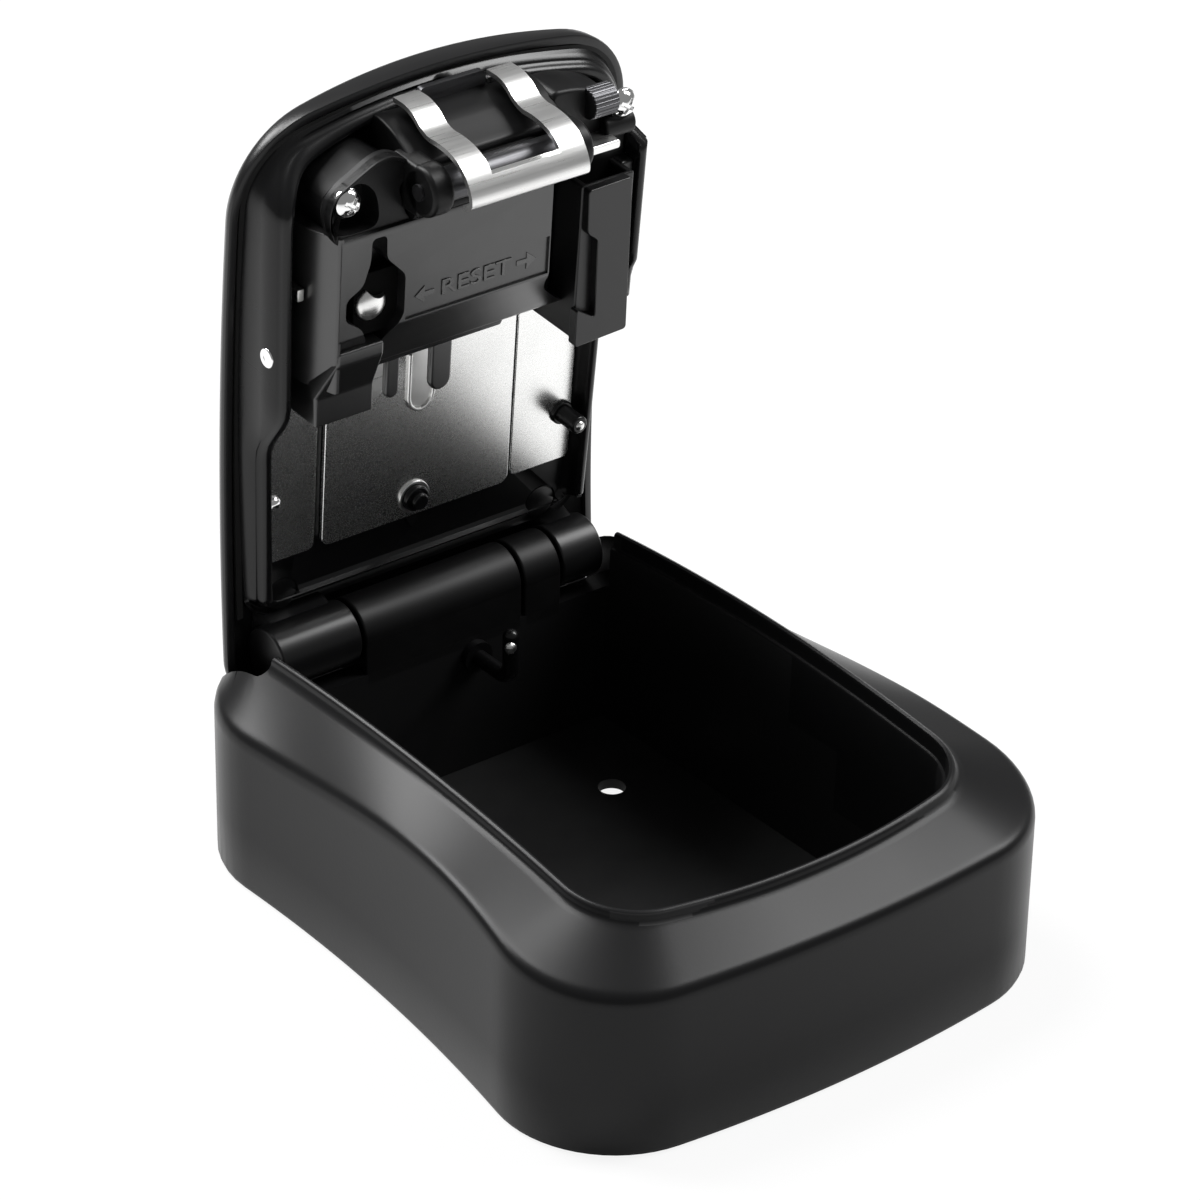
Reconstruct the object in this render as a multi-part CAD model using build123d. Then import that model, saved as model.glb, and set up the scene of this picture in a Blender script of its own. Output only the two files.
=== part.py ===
from build123d import *
from math import sqrt
import os

# Combination key safe, lying on its back with the lid open.
# Millimetres. X is the width along the hinge, -Y is the latch end, +Z is up off the wall.
# The origin is the middle of the wall face. The lid is modelled shut and then swung open.

# Case outside
case_length = 125.5
case_width_back = 103.6
case_width_waist = 98.4
case_width_front = 114.8
case_front_bow = 5.8
case_corner_radius = 22.0
case_wall = 3.2
bevel_height = 33.0
bevel_round = 4.0

# Rim that the lid shuts on
rim_height = 39.2
rim_crown = 3.6
rim_wall = 2.2
rim_lip = 1.4
rim_ledge_depth = 3.0
rim_front_setback = 10.3
rim_back_setback = 1.6
rim_width_back = 76.4
rim_width_waist = 79.4
rim_width_front = 81.2
rim_bow = 5.8
rim_corner_radius = 14.0

# Back plate and its screws
plate_thickness = 2.0
plate_clearance = 0.2
plate_screw_radius = 1.4
plate_screw_head_radius = 2.6
plate_screw_length = 9.0
plate_boss_radius = 4.2
wall_hole_radius = 2.6
wall_hole_spacing_x = 44.0
wall_hole_spacing_y = 62.0
wall_hole_centre_y = -6.0

# Hinge
hinge_inset = 10.85
hinge_height = 36.4
lid_open = 86.0
pin_radius = 1.5
pin_clearance = 0.05
barrel_radius = 6.0
barrel_half_length = 35.4
left_knuckle_length = 16.8
middle_knuckle_length = 34.6
short_knuckle_length = 8.2
knuckle_gap = 0.7
hinge_web_depth = 2.6
relief_clearance = 0.6

# Lid shell
lid_gap = 0.4
lid_width_back = 80.4
lid_width_waist = 80.8
lid_width_front = 84.4
lid_front_setback = 2.2
lid_tail = 9.2
lid_bow = 6.2
lid_front_corner = 16.0
lid_back_corner = 7.0
lid_skirt = 3.2
lid_dome = 3.0
lid_skin = 2.2
lid_edge = 1.9

# Liner, seal and plates inside the lid
liner_clearance = 0.5
liner_wall = 1.4
liner_floor = 1.2
liner_floor_level = 4.0
liner_low_wall = 4.6
liner_high_wall = 11.0
liner_tail_clearance = 0.6
liner_tail_corner = 3.0
liner_step_length = 14.0
liner_step_drop = 6.0
seal_width = 1.1
seal_depth = 0.7
armour_thickness = 0.8
armour_low_edge = 17.5
armour_left_drop = 5.0
armour_left_width = 11.0
armour_middle_width = 39.6
armour_right_width = 13.0
armour_left_gap = 2.2
armour_right_gap = 0.9
armour_centre = -1.0

# Lock housing, levels are measured from the hinge axis with the lid shut
housing_front = -10.9
housing_left_setback = 10.6
housing_right_setback = 8.0
housing_setback = 15.1
housing_margin = 0.6
housing_wall = 1.8
band_length = 7.1
band_offset = 1.05
band_depth = 0.5
band_left = -16.0
band_right = 14.0
housing_split = 21.4
housing_gap = 0.4
foot_drop = 6.0
foot_depth = 2.5
tower_drop = 7.4
tower_setback = 4.6
tower_step_width = 2.5
tower_step_depth = 4.5
ear_side_setback = 11.5
ear_setback = 6.7
ear_radius = 5.6
ear_level = -7.6
slot_across = -22.2
slot_neck = 1.6
slot_belly = 6.0
slot_low_margin = 3.1
slot_high_margin = 1.0

# Spring clip, cover, shaft and bolt at the latch end
clip_setback = 1.5
clip_bulge = 18.5
clip_span = 24.6
clip_leg = 5.4
clip_thickness = 0.9
clip_lip = 2.4
cap_setback = 4.5
cap_width = 34.0
cap_cheek = 2.4
shaft_radius = 3.0
shaft_length = 33.0
shaft_setback = 7.5
shaft_level = -14.4
bolt_thickness = 1.2
bolt_width = 14.0
bolt_travel = 1.7
bolt_tail_gap = 3.0
bolt_tip_gap = 0.8
bolt_level = 0.8

# Dials
dial_count = 4
dial_radius = 9.6
dial_width = 6.2
dial_pitch = 7.2
dial_setback = 4.6
dial_level = 6.0
dial_facets = 10
dial_flute_radius = 0.9
dial_shaft_radius = 2.0
running_clearance = 0.06
window_clearance = 0.7
cheek_thickness = 1.6
spring_thickness = 0.4
spring_finger_width = 4.0
spring_gap = 0.3

# Face parts: bezel, release slider and weather cover
bezel_frame = 2.2
bezel_thickness = 1.2
slider_length = 9.0
slider_width = 22.0
slider_height = 2.0
slider_stem_length = 4.0
slider_lift = 0.35
slot_clearance = 0.5
slider_stem_width = 6.0
cover_width = 46.0
cover_length = 34.0
cover_thickness = 1.6
cover_travel = 36.0
cover_height = 4.6
rail_stem = 1.8
rail_flange = 1.0
rail_flange_thickness = 1.3
slide_gap = 0.4

# Reset lever
reset_travel = 2.6
reset_radius = 2.9
reset_level = -8.0
reset_offset = 1.0

# Strike and hook in the case
strike_width = 30.0
strike_below = 7.0
strike_height = 10.0
strike_thickness = 1.2
strike_slot_height = 3.4
hook_wire_radius = 1.5
hook_reach = 11.0
hook_rise = 9.0
hook_offset_x = 6.0
hook_drop = 4.6

# Screws inside the lid
ear_screw_radius = 1.5
ear_screw_head_radius = 3.1
ear_screw_head_height = 2.2
ear_screw_length = 9.0
small_screw_radius = 1.1
small_screw_head_radius = 2.0
small_screw_head_height = 1.2
peg_across = -2.3
peg_reach = 21.6
post_across = 30.5
post_reach = 28.4
post_radius = 1.7
post_height = 6.0
post_clearance = 0.05
side_screw_reach = 29.4
side_rivet_reach = 60.6
recess_depth = 0.8
ejector_across = 28.3
ejector_reach = 9.8
ejector_radius = 2.6
tongue_width = 7.0
tongue_length = 9.0
tongue_cut = 0.8
tongue_setback = 17.0

case_front = -case_length / 2
case_back = case_length / 2
rim_front = case_front + rim_front_setback
rim_back = case_back - rim_back_setback
rim_middle = (rim_front + rim_back) / 2
rim_half_length = (rim_back - rim_front) / 2
rim_top = rim_height + rim_crown
crown_radius = rim_half_length**2 / (2 * rim_crown)
hinge_y = case_back - hinge_inset
hinge_z = hinge_height
hinge_wall_front = hinge_y - barrel_radius
pin_hole_radius = pin_radius + pin_clearance
lid_front = rim_front + lid_front_setback
lid_back = hinge_y + lid_tail
lid_low = rim_height + lid_gap
lid_top = lid_low + lid_skirt + rim_crown + lid_dome
tail_radius = sqrt(lid_tail**2 + (lid_top - rim_crown - hinge_z) ** 2) + relief_clearance
liner_inset = rim_wall + liner_clearance
liner_front = lid_front + lid_edge + seal_width + liner_clearance
liner_tail_gap = barrel_radius + liner_tail_clearance
liner_back = hinge_y - liner_tail_gap
liner_face = liner_floor_level
liner_top = liner_floor_level + liner_floor
liner_low = liner_floor_level - liner_low_wall
liner_high = liner_floor_level - liner_high_wall
armour_face = liner_face - armour_thickness
liner_end = hinge_y - (liner_front - lid_bow + liner_wall)
housing_high = liner_end - housing_setback
dial_reach = housing_high - dial_radius - housing_wall - dial_setback
housing_low = dial_reach - dial_radius - housing_wall - housing_margin
liner_step_end = housing_low - liner_step_drop
liner_step_start = liner_step_end - liner_step_length
armour_high_edge = housing_low - armour_left_drop
band_low = dial_reach + band_offset - band_length / 2
band_high = dial_reach + band_offset + band_length / 2
tower_low = housing_low - tower_drop
tower_high = housing_high - tower_setback
ear_reach = liner_end - ear_setback
ear_span = lid_width_waist - 2 * ear_side_setback
housing_left = housing_left_setback - lid_width_waist / 2
housing_right = lid_width_waist / 2 - housing_right_setback
tongue_reach = housing_low - tongue_setback
cover_reach = dial_reach - cover_travel
slot_low = housing_low + slot_low_margin
slot_high = housing_high - slot_high_margin
clip_top_reach = liner_end - clip_setback
cap_reach = liner_end - cap_setback
shaft_reach = liner_end - shaft_setback
strike_reach = hinge_y - (rim_front - rim_bow + rim_wall + strike_thickness)
bolt_tail = housing_high + bolt_tail_gap
bolt_reach = strike_reach - bolt_tip_gap
slider_reach = bolt_tail + slider_stem_length / 2
reset_reach = dial_reach + reset_offset
far = 200.0


def plan_face(front, back, width_back, width_waist, width_front, bow, front_corner, back_corner):
    """A waisted outline with a bowed front end and round corners."""
    middle = (front + back) / 2
    half_back, half_waist, half_front = width_back / 2, width_waist / 2, width_front / 2
    right = ThreePointArc((half_back, back), (half_waist, middle), (half_front, front))
    nose = ThreePointArc((half_front, front), (0, front - bow), (-half_front, front))
    left = ThreePointArc((-half_front, front), (-half_waist, middle), (-half_back, back))
    tail = Line((-half_back, back), (half_back, back))
    face = make_face(Curve() + [right, nose, left, tail])
    corners = face.vertices().sort_by(Axis.Y)
    face = fillet(corners[:2], front_corner)
    corners = face.vertices().sort_by(Axis.Y)
    return fillet(corners[-2:], back_corner)


def case_plan(inset=0.0):
    """The outline of the case, or the same outline moved inwards."""
    corner = case_corner_radius - inset
    back = case_width_back - 2 * inset
    waist = case_width_waist - 2 * inset
    front = case_width_front - 2 * inset
    return plan_face(case_front + inset, case_back - inset, back, waist, front, case_front_bow, corner, corner)


def rim_plan(inset=0.0):
    """The outline of the rim, or the same outline moved inwards."""
    corner = rim_corner_radius - inset
    back = rim_width_back - 2 * inset
    waist = rim_width_waist - 2 * inset
    front = rim_width_front - 2 * inset
    return plan_face(rim_front + inset, rim_back - inset, back, waist, front, rim_bow, corner, corner)


def lid_plan(inset=0.0):
    """The outline of the lid, or the same outline moved inwards."""
    back = lid_width_back - 2 * inset
    waist = lid_width_waist - 2 * inset
    front = lid_width_front - 2 * inset
    nose, tail = lid_front_corner - inset, lid_back_corner - inset
    return plan_face(lid_front + inset, lid_back - inset, back, waist, front, lid_bow, nose, tail)


def liner_plan(inset=0.0):
    """The outline of the liner, which drops inside the rim when the lid shuts."""
    shrink = 2 * (liner_inset + inset)
    nose = lid_front_corner - (liner_front - lid_front) - inset
    return plan_face(
        liner_front + inset, liner_back - inset, rim_width_back - shrink, rim_width_waist - shrink,
        rim_width_front - shrink, lid_bow, nose, liner_tail_corner,
    )


def prism(face, low, high):
    """A flat outline pulled up between two heights."""
    return extrude(Pos(0, 0, low) * face, high - low, dir=(0, 0, 1))


def block(left, right, front, back, low, high):
    """A square block between six faces."""
    centre = ((left + right) / 2, (front + back) / 2, (low + high) / 2)
    return Pos(*centre) * Box(right - left, back - front, high - low)


def rod_x(left, right, y, z, radius):
    """A round rod lying across."""
    return Pos((left + right) / 2, y, z) * Rot(0, 90, 0) * Cylinder(radius, right - left)


def under_crown(height):
    """Everything under the crowned surface whose top is at this height."""
    return rod_x(-far / 2, far / 2, rim_middle, height - crown_radius, crown_radius)


def under_dome(apex):
    """Everything under a surface crowned both ways, with its top at this height."""
    half = lid_width_front / 2 + lid_edge
    edge = apex - lid_dome * (half / (lid_width_waist / 2)) ** 2
    floor = apex - lid_top + rim_height / 2
    arc = ThreePointArc((-half, edge), (0, apex), (half, edge))
    frame = Polyline((half, edge), (half, floor), (-half, floor), (-half, edge))
    profile = Plane.XZ.offset(-rim_middle) * make_face(Curve() + [arc, frame])
    axis = Axis((0, rim_middle, apex - crown_radius), (1, 0, 0))
    return revolve(profile, axis, 360)


def reach_y(reach):
    """Y of a place on the shut lid, from its distance to the hinge axis."""
    return hinge_y - reach


def level_z(level):
    """Z of a place on the shut lid, from its height over the hinge axis."""
    return hinge_z + level


def lid_box(left, right, near, out, low, high):
    """A block on the shut lid: across, away from the hinge, and up."""
    return block(left, right, reach_y(out), reach_y(near), level_z(low), level_z(high))


def lid_side_face(corners):
    """A side view outline on the shut lid, from reach and level."""
    return make_face(Polyline(*[(0, reach_y(reach), level_z(level)) for reach, level in corners], close=True))


def lid_flat(corners, low, high):
    """A flat outline on the shut lid, from across and reach, pulled up."""
    outline = Polyline(*[(across, reach_y(reach), level_z(low)) for across, reach in corners], close=True)
    return extrude(make_face(outline), high - low, dir=(0, 0, 1))


def lid_post(across, reach, low, high, radius):
    """A round post standing square to the lid."""
    return Pos(across, reach_y(reach), level_z((low + high) / 2)) * Cylinder(radius, high - low)


def lid_rod(left, right, reach, level, radius):
    """A round rod lying across the lid."""
    return rod_x(left, right, reach_y(reach), level_z(level), radius)


def opened(piece):
    """The same piece on the lid swung open."""
    return Pos(0, hinge_y, hinge_z) * Rot(-lid_open, 0, 0) * Pos(0, -hinge_y, -hinge_z) * piece


knuckle_left = (-barrel_half_length, left_knuckle_length - barrel_half_length)
knuckle_middle = (knuckle_left[1] + knuckle_gap, knuckle_left[1] + knuckle_gap + middle_knuckle_length)
knuckle_short = (knuckle_middle[1] + knuckle_gap, knuckle_middle[1] + knuckle_gap + short_knuckle_length)
knuckle_right = (knuckle_short[1] + knuckle_gap, barrel_half_length)


def case_half_width(y):
    """Half the width of the case at a place along it."""
    share = (case_back - y) / case_length
    back = case_width_back * (1 - share) * (1 - 2 * share)
    waist = case_width_waist * 4 * share * (1 - share)
    front = case_width_front * share * (2 * share - 1)
    return (back + waist + front) / 2


def boss_places():
    """Screw bosses of the back plate, half way between the well and the outer wall."""
    places = []
    for y in (rim_front + rim_corner_radius / 2, rim_back - 2 * rim_corner_radius):
        side = (case_half_width(y) - case_wall + rim_width_waist / 2) / 2
        places += [(-side, y), (side, y)]
    return places


def wall_hole_places():
    """Holes for the screws that hold the safe on a wall."""
    across, along = wall_hole_spacing_x / 2, wall_hole_spacing_y / 2
    return [(side * across, wall_hole_centre_y + end * along) for side in (-1, 1) for end in (-1, 1)]


def case_shell():
    """The cast case: sloping shoulders, a thin rim, an open well for the keys and the hinge knuckles."""
    body = prism(case_plan(), 0, bevel_height)
    body += loft([Pos(0, 0, bevel_height) * case_plan(), Pos(0, 0, rim_height) * rim_plan()])
    shoulder = body.edges().filter_by_position(Axis.Z, bevel_height - pin_clearance, bevel_height + pin_clearance)
    body = fillet(shoulder, bevel_round)
    body += prism(rim_plan(), rim_height, rim_top + 1) & under_crown(rim_top)
    well = block(-far, far, -far, hinge_wall_front, 0, far)
    body -= prism(rim_plan(rim_wall), plate_thickness, rim_top + 2) & well
    body -= prism(rim_plan(rim_lip), hinge_z - barrel_radius, rim_top + 2) - under_crown(rim_top - rim_ledge_depth)
    relief_half = lid_width_waist / 2 + relief_clearance
    hinge_wall_back = hinge_wall_front + case_wall
    shelf_top = hinge_z - tail_radius
    hollow = prism(case_plan(case_wall), 0, bevel_height - case_wall)
    hollow -= block(-far, far, hinge_wall_back, far, shelf_top - case_wall, far)
    hollow -= prism(rim_plan(), 0, bevel_height) & block(-far, far, -far, hinge_wall_back, 0, far)
    for x, y in boss_places():
        hollow -= Pos(x, y, bevel_height / 2) * Cylinder(plate_boss_radius, bevel_height)
    body -= hollow
    body -= prism(case_plan(case_wall), 0, plate_thickness)
    for x, y in boss_places():
        body -= Pos(x, y, plate_thickness + plate_screw_length / 2) * Cylinder(plate_screw_radius, plate_screw_length)
    swing = rod_x(-relief_half, relief_half, hinge_y, hinge_z, tail_radius)
    body -= swing & block(-far, far, hinge_y - pin_radius, far, -far, far)
    shelf = hinge_z - barrel_radius - relief_clearance
    body -= block(-relief_half, relief_half, hinge_wall_front - relief_clearance, far, shelf, far)
    for left, right in (knuckle_middle, knuckle_short):
        body += rod_x(left, right, hinge_y, hinge_z, barrel_radius)
        body += block(left, right, hinge_wall_front, hinge_wall_back, shelf - case_wall, hinge_z)
        body += block(left, right, hinge_wall_front, hinge_y + hinge_web_depth, shelf, hinge_z)
    return body - rod_x(-far / 2, far / 2, hinge_y, hinge_z, pin_hole_radius)


def back_plate():
    """A flat plate that shuts the back of the case and carries the wall screws."""
    plate = prism(case_plan(case_wall + plate_clearance), 0, plate_thickness)
    for x, y in wall_hole_places():
        plate -= Pos(x, y, plate_thickness / 2) * Cylinder(wall_hole_radius, 2 * plate_thickness)
    for x, y in boss_places():
        plate -= Pos(x, y, plate_thickness / 2) * Cylinder(plate_screw_radius + plate_clearance, 2 * plate_thickness)
        plate -= Pos(x, y, plate_thickness / 4) * Cylinder(plate_screw_head_radius + plate_clearance, plate_thickness / 2)
    return plate


def back_plate_screws():
    """Short screws from the back plate into the bosses."""
    screws = []
    for x, y in boss_places():
        shank = plate_screw_length - plate_thickness
        screw = Pos(x, y, plate_thickness / 4) * Cylinder(plate_screw_head_radius, plate_thickness / 2)
        screw += Pos(x, y, plate_thickness / 2 + shank / 2) * Cylinder(plate_screw_radius - plate_clearance / 2, shank)
        screws.append(screw)
    return screws


def hinge_pin():
    """The pin through all the knuckles."""
    half = barrel_half_length - knuckle_gap
    return rod_x(-half, half, hinge_y, hinge_z, pin_radius)


def key_hook():
    """A wire hook on the hinge wall that turns up at its end."""
    root_z = hinge_z - barrel_radius - hook_drop
    start = (hook_offset_x, hinge_wall_front, root_z)
    turn = (hook_offset_x, hinge_wall_front - hook_reach, root_z)
    end = (hook_offset_x, hinge_wall_front - hook_reach, root_z + hook_rise)
    path = FilletPolyline(start, turn, end, radius=2 * hook_wire_radius)
    hook = sweep(Plane(origin=start, z_dir=(0, -1, 0)) * Circle(hook_wire_radius), path)
    collar_length = hook_wire_radius
    collar = Pos(hook_offset_x, hinge_wall_front - collar_length / 2, root_z) * Rot(90, 0, 0)
    return hook + Pos(*end) * Sphere(hook_wire_radius) + collar * Cylinder(2 * hook_wire_radius, collar_length)


def strike_plate():
    """A keeper on the inside of the front wall, with a slot for the bolt."""
    low, high = level_z(bolt_level) - strike_below, rim_height - rim_ledge_depth
    ring = prism(rim_plan(rim_wall), low, high) - prism(rim_plan(rim_wall + strike_thickness), low - 1, high + 1)
    plate = ring & block(-strike_width / 2, strike_width / 2, -far, rim_front, low, high)
    half = bolt_width / 2 + slot_clearance + bolt_thickness / 2
    slot_low = level_z(bolt_level) - strike_slot_height / 2
    return plate - block(-half, half, -far, rim_front, slot_low, far)


def lid_mass(low, apex, inset=0.0):
    """The lid outline filled from a height up to the domed face."""
    return prism(lid_plan(inset), low, apex + 1) & under_dome(apex)


def lid_shell():
    """The cast lid: a shallow domed tray with two hinge knuckles."""
    body = lid_mass(lid_low - 1, lid_top) - lid_mass(lid_low - 2, lid_top - lid_skin, lid_edge)
    body -= under_crown(lid_low + rim_crown)
    fill = lid_mass(lid_low - 1, lid_top - lid_skin / 2)
    for left, right in (knuckle_left, knuckle_right):
        web = lid_box(left, right, -barrel_radius, barrel_radius, 0, lid_top - hinge_z)
        tab = lid_box(left, right, barrel_radius, liner_tail_gap + 2 * liner_wall, liner_top, lid_top - hinge_z)
        body += (web & (fill + lid_box(-far, far, -far, far, 0, lid_low + rim_crown - hinge_z))) + (tab & fill)
        body += lid_rod(left, right, 0, 0, barrel_radius)
    for side in (-1, 1):
        body += lid_post(side * ear_span / 2, ear_reach, liner_top, lid_top - hinge_z, ear_radius - 1) & fill
    body -= lid_rod(-far / 2, far / 2, 0, 0, pin_hole_radius)
    for side in (-1, 1):
        body -= lid_post(side * ear_span / 2, ear_reach, 0, screw_end_level(), ear_screw_radius)
    half = dial_row_half() + window_clearance
    body -= lid_box(-half, half, dial_reach - window_half(), dial_reach + window_half(), 0, far)
    return body - stem_slot()


def screw_end_level():
    """How far up the long lid screws reach."""
    return liner_top + liner_floor


def dial_row_half():
    """Half the length of the row of dials."""
    return (dial_count - 1) * dial_pitch / 2 + dial_width / 2


def window_half():
    """Half the length of the window the dials stand in."""
    return dial_radius + window_clearance


def stem_slot():
    """The slot that the stem of the release slider moves in."""
    half = slider_stem_width / 2 + slot_clearance
    near = slider_reach - slider_stem_length / 2 - slot_clearance
    out = slider_reach + slider_stem_length / 2 + bolt_travel + slot_clearance
    return lid_box(-half, half, near, out, bolt_level, far)


def lid_seal():
    """A soft ring between the lid edge and the liner."""
    base = under_crown(lid_low + rim_crown)
    ring = prism(lid_plan(lid_edge), lid_low, lid_top) - prism(lid_plan(lid_edge + seal_width), lid_low - 1, lid_top + 1)
    ring = (ring & under_crown(lid_low + rim_crown + seal_depth)) - base
    return ring - lid_box(-far, far, -far, liner_tail_gap, -far, far)


def lid_liner():
    """The plastic tray inside the lid, with a side wall that steps up beside the lock."""
    body = prism(liner_plan(), level_z(liner_high), level_z(liner_top))
    body -= prism(liner_plan(liner_wall), level_z(liner_high) - 1, level_z(liner_face))
    middle = (liner_step_start + liner_step_end) / 2
    step = Spline(
        (0, reach_y(liner_step_start), level_z(liner_low)),
        (0, reach_y(middle), level_z((liner_low + liner_high) / 2)),
        (0, reach_y(liner_step_end), level_z(liner_high)),
        tangents=[(0, -1, 0), (0, -1, 0)],
    )
    deep = level_z(liner_high) - 2
    sides = Polyline(
        (0, reach_y(liner_step_end), level_z(liner_high)), (0, reach_y(liner_step_end), deep), (0, far, deep),
        (0, far, level_z(liner_low)), (0, reach_y(liner_step_start), level_z(liner_low)),
    )
    body -= Pos(-far / 2, 0, 0) * extrude(make_face(Curve() + [step, sides]), far, dir=(1, 0, 0))
    half = dial_row_half() + window_clearance + cheek_thickness
    body -= lid_box(-half, half, dial_reach - window_half(), dial_reach + window_half(), -far, far)
    body -= stem_slot()
    gate = bolt_width / 2 + slot_clearance
    gate_low, gate_high = bolt_level - bolt_thickness, bolt_level + bolt_thickness
    body -= lid_box(-gate, gate, bolt_tail, far, gate_low, gate_high)
    for side in (-1, 1):
        body -= lid_post(side * ear_span / 2, ear_reach, 0, far, ear_screw_radius + post_clearance)
        body -= lid_post(side * ejector_across, ejector_reach, 0, liner_face + recess_depth / 2, ejector_radius)
    for reach, level in ((side_screw_reach, liner_low / 2), (side_rivet_reach, liner_high / 2)):
        body -= lid_rod(-far / 2, 0, reach, level, small_screw_radius + post_clearance)
    for across, reach in ((peg_across, peg_reach), (post_across, post_reach)):
        body -= lid_post(across, reach, 0, far, post_radius / 2 + post_clearance)
    return body


def armour_corners():
    """Left and right edges of the three armour plates."""
    middle_left = armour_centre - armour_middle_width / 2
    middle_right = armour_centre + armour_middle_width / 2
    left = middle_left - armour_left_gap - armour_left_width
    right = middle_right + armour_right_gap
    return left, middle_left, middle_right, right


def armour_left():
    """The narrow left plate, with its far corner cut back."""
    left = armour_corners()[0]
    right = left + armour_left_width
    shoulder = armour_high_edge - 2 * liner_wall
    corners = [(left, armour_low_edge), (right, armour_low_edge), (right, shoulder)]
    corners += [(left + armour_left_width / 2, armour_high_edge - liner_wall), (left, liner_step_start)]
    return lid_flat(corners, armour_face, liner_face)


def armour_middle():
    """The wide plate under the lock, with a sprung tongue cut in it."""
    left, right = armour_corners()[1:3]
    plate = lid_box(left, right, armour_low_edge, housing_low - housing_gap, armour_face, liner_face)
    plate -= lid_post(peg_across, peg_reach, 0, far, post_radius / 2 + post_clearance)
    arm = tongue_width / 2 + tongue_cut
    near, out = tongue_reach - tongue_length / 2, tongue_reach + tongue_length / 2
    cut = lid_box(peg_across - arm, peg_across + arm, near, out, 0, far)
    tongue = lid_box(peg_across - arm + tongue_cut, peg_across + arm - tongue_cut, near + tongue_cut, far, 0, far)
    return plate - (cut - tongue)


def armour_right():
    """The right plate."""
    left = armour_corners()[3]
    plate = lid_box(left, left + armour_right_width, armour_low_edge, tower_low - housing_gap, armour_face, liner_face)
    return plate - lid_post(post_across, post_reach, 0, far, post_radius / 2 + post_clearance)


def stud(across, reach, radius, height):
    """A shouldered stud with a thin shank through its plate and the liner."""
    shank = lid_post(across, reach, armour_face, liner_top, radius / 2)
    return shank + lid_post(across, reach, armour_face - height, armour_face, radius)


def plate_peg():
    """The peg on the middle plate, with a wide foot."""
    foot = lid_post(peg_across, peg_reach, armour_face - armour_thickness, armour_face, 1.6 * post_radius)
    return stud(peg_across, peg_reach, post_radius, post_height) + foot


def guide_post():
    """The dark pin on the right plate."""
    return stud(post_across, post_reach, post_radius, post_height)


def side_screws():
    """A small screw and a rivet in the left side wall of the liner."""
    pieces = []
    for reach, level in ((side_screw_reach, liner_low / 2), (side_rivet_reach, liner_high / 2)):
        edge = prism(liner_plan(-post_clearance * 3), level_z(liner_high), level_z(liner_top))
        inner = prism(liner_plan(liner_wall), level_z(liner_high), level_z(liner_top))
        pieces.append((lid_rod(-far / 2, 0, reach, level, small_screw_radius) & edge) - inner)
    return pieces


def room(piece):
    """The part of a piece that fits inside the liner."""
    return piece & prism(liner_plan(liner_wall + slide_gap), level_z(-far / 4), level_z(liner_face))


def lock_housing():
    """The hollow box over the dials, with a lower foot on the left and a slot for the reset lever."""
    body = lid_box(housing_left, housing_split, housing_low, housing_high, housing_front, liner_face)
    left = housing_left - foot_depth
    foot_front = housing_front + foot_depth
    foot = lid_box(left, slot_across, housing_low - foot_drop, housing_low, foot_front, armour_face)
    ears = foot
    for side in (-1, 1):
        ears += lid_post(side * ear_span / 2, ear_reach, ear_level, liner_face, ear_radius)
        arm = ear_radius - housing_wall
        middle = side * ear_span / 2
        near, out = housing_high - housing_wall, ear_reach
        ears += lid_box(middle - arm, middle + arm, near, out, ear_level + housing_wall, liner_face)
    bridge_low = ear_level + 2 * housing_wall
    ears += lid_box(housing_split - housing_wall, ear_span / 2, tower_high + housing_gap, housing_high, bridge_low, liner_face)
    body += ears
    inner_left, inner_right = housing_left + housing_wall, housing_split - housing_wall
    near, out = housing_low + housing_wall, housing_high - housing_wall
    body -= lid_box(inner_left, inner_right, near, out, housing_front + housing_wall, far)
    for side in (-1, 1):
        body -= lid_post(side * ear_span / 2, ear_reach, -far, far, ear_screw_radius + post_clearance)
    body -= lid_box(band_left, band_right, band_low, band_high, -far, housing_front + band_depth)
    flare = slot_belly / 2
    half = [
        (slot_neck, slot_high), (slot_neck, slot_high - 2 * flare), (slot_belly, dial_reach + 2 * flare - slot_neck),
        (slot_belly, dial_reach - flare), (slot_neck, slot_low),
    ]
    corners = [(slot_across + across, reach) for across, reach in half]
    corners += [(slot_across - across, reach) for across, reach in reversed(half)]
    body -= lid_flat(corners, housing_front - 1, housing_front + housing_wall + 1)
    return room(body)


def side_tower():
    """The tall hollow guard at the right of the lock, stepped towards the lid edge."""
    left = housing_split + housing_gap
    right = housing_right
    front, step_front = housing_front, housing_front + tower_step_depth
    body = lid_box(left, right, tower_low, tower_high, front, liner_face)
    step_low = tower_low + tower_step_depth
    body += lid_box(left, right + tower_step_width, step_low, tower_high, step_front, liner_face)
    wall = housing_wall * 0.8
    near, out = tower_low + wall, tower_high + 1
    return room(body) - lid_box(left + wall, right - wall, near, out, front + wall, liner_face - wall)


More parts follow.
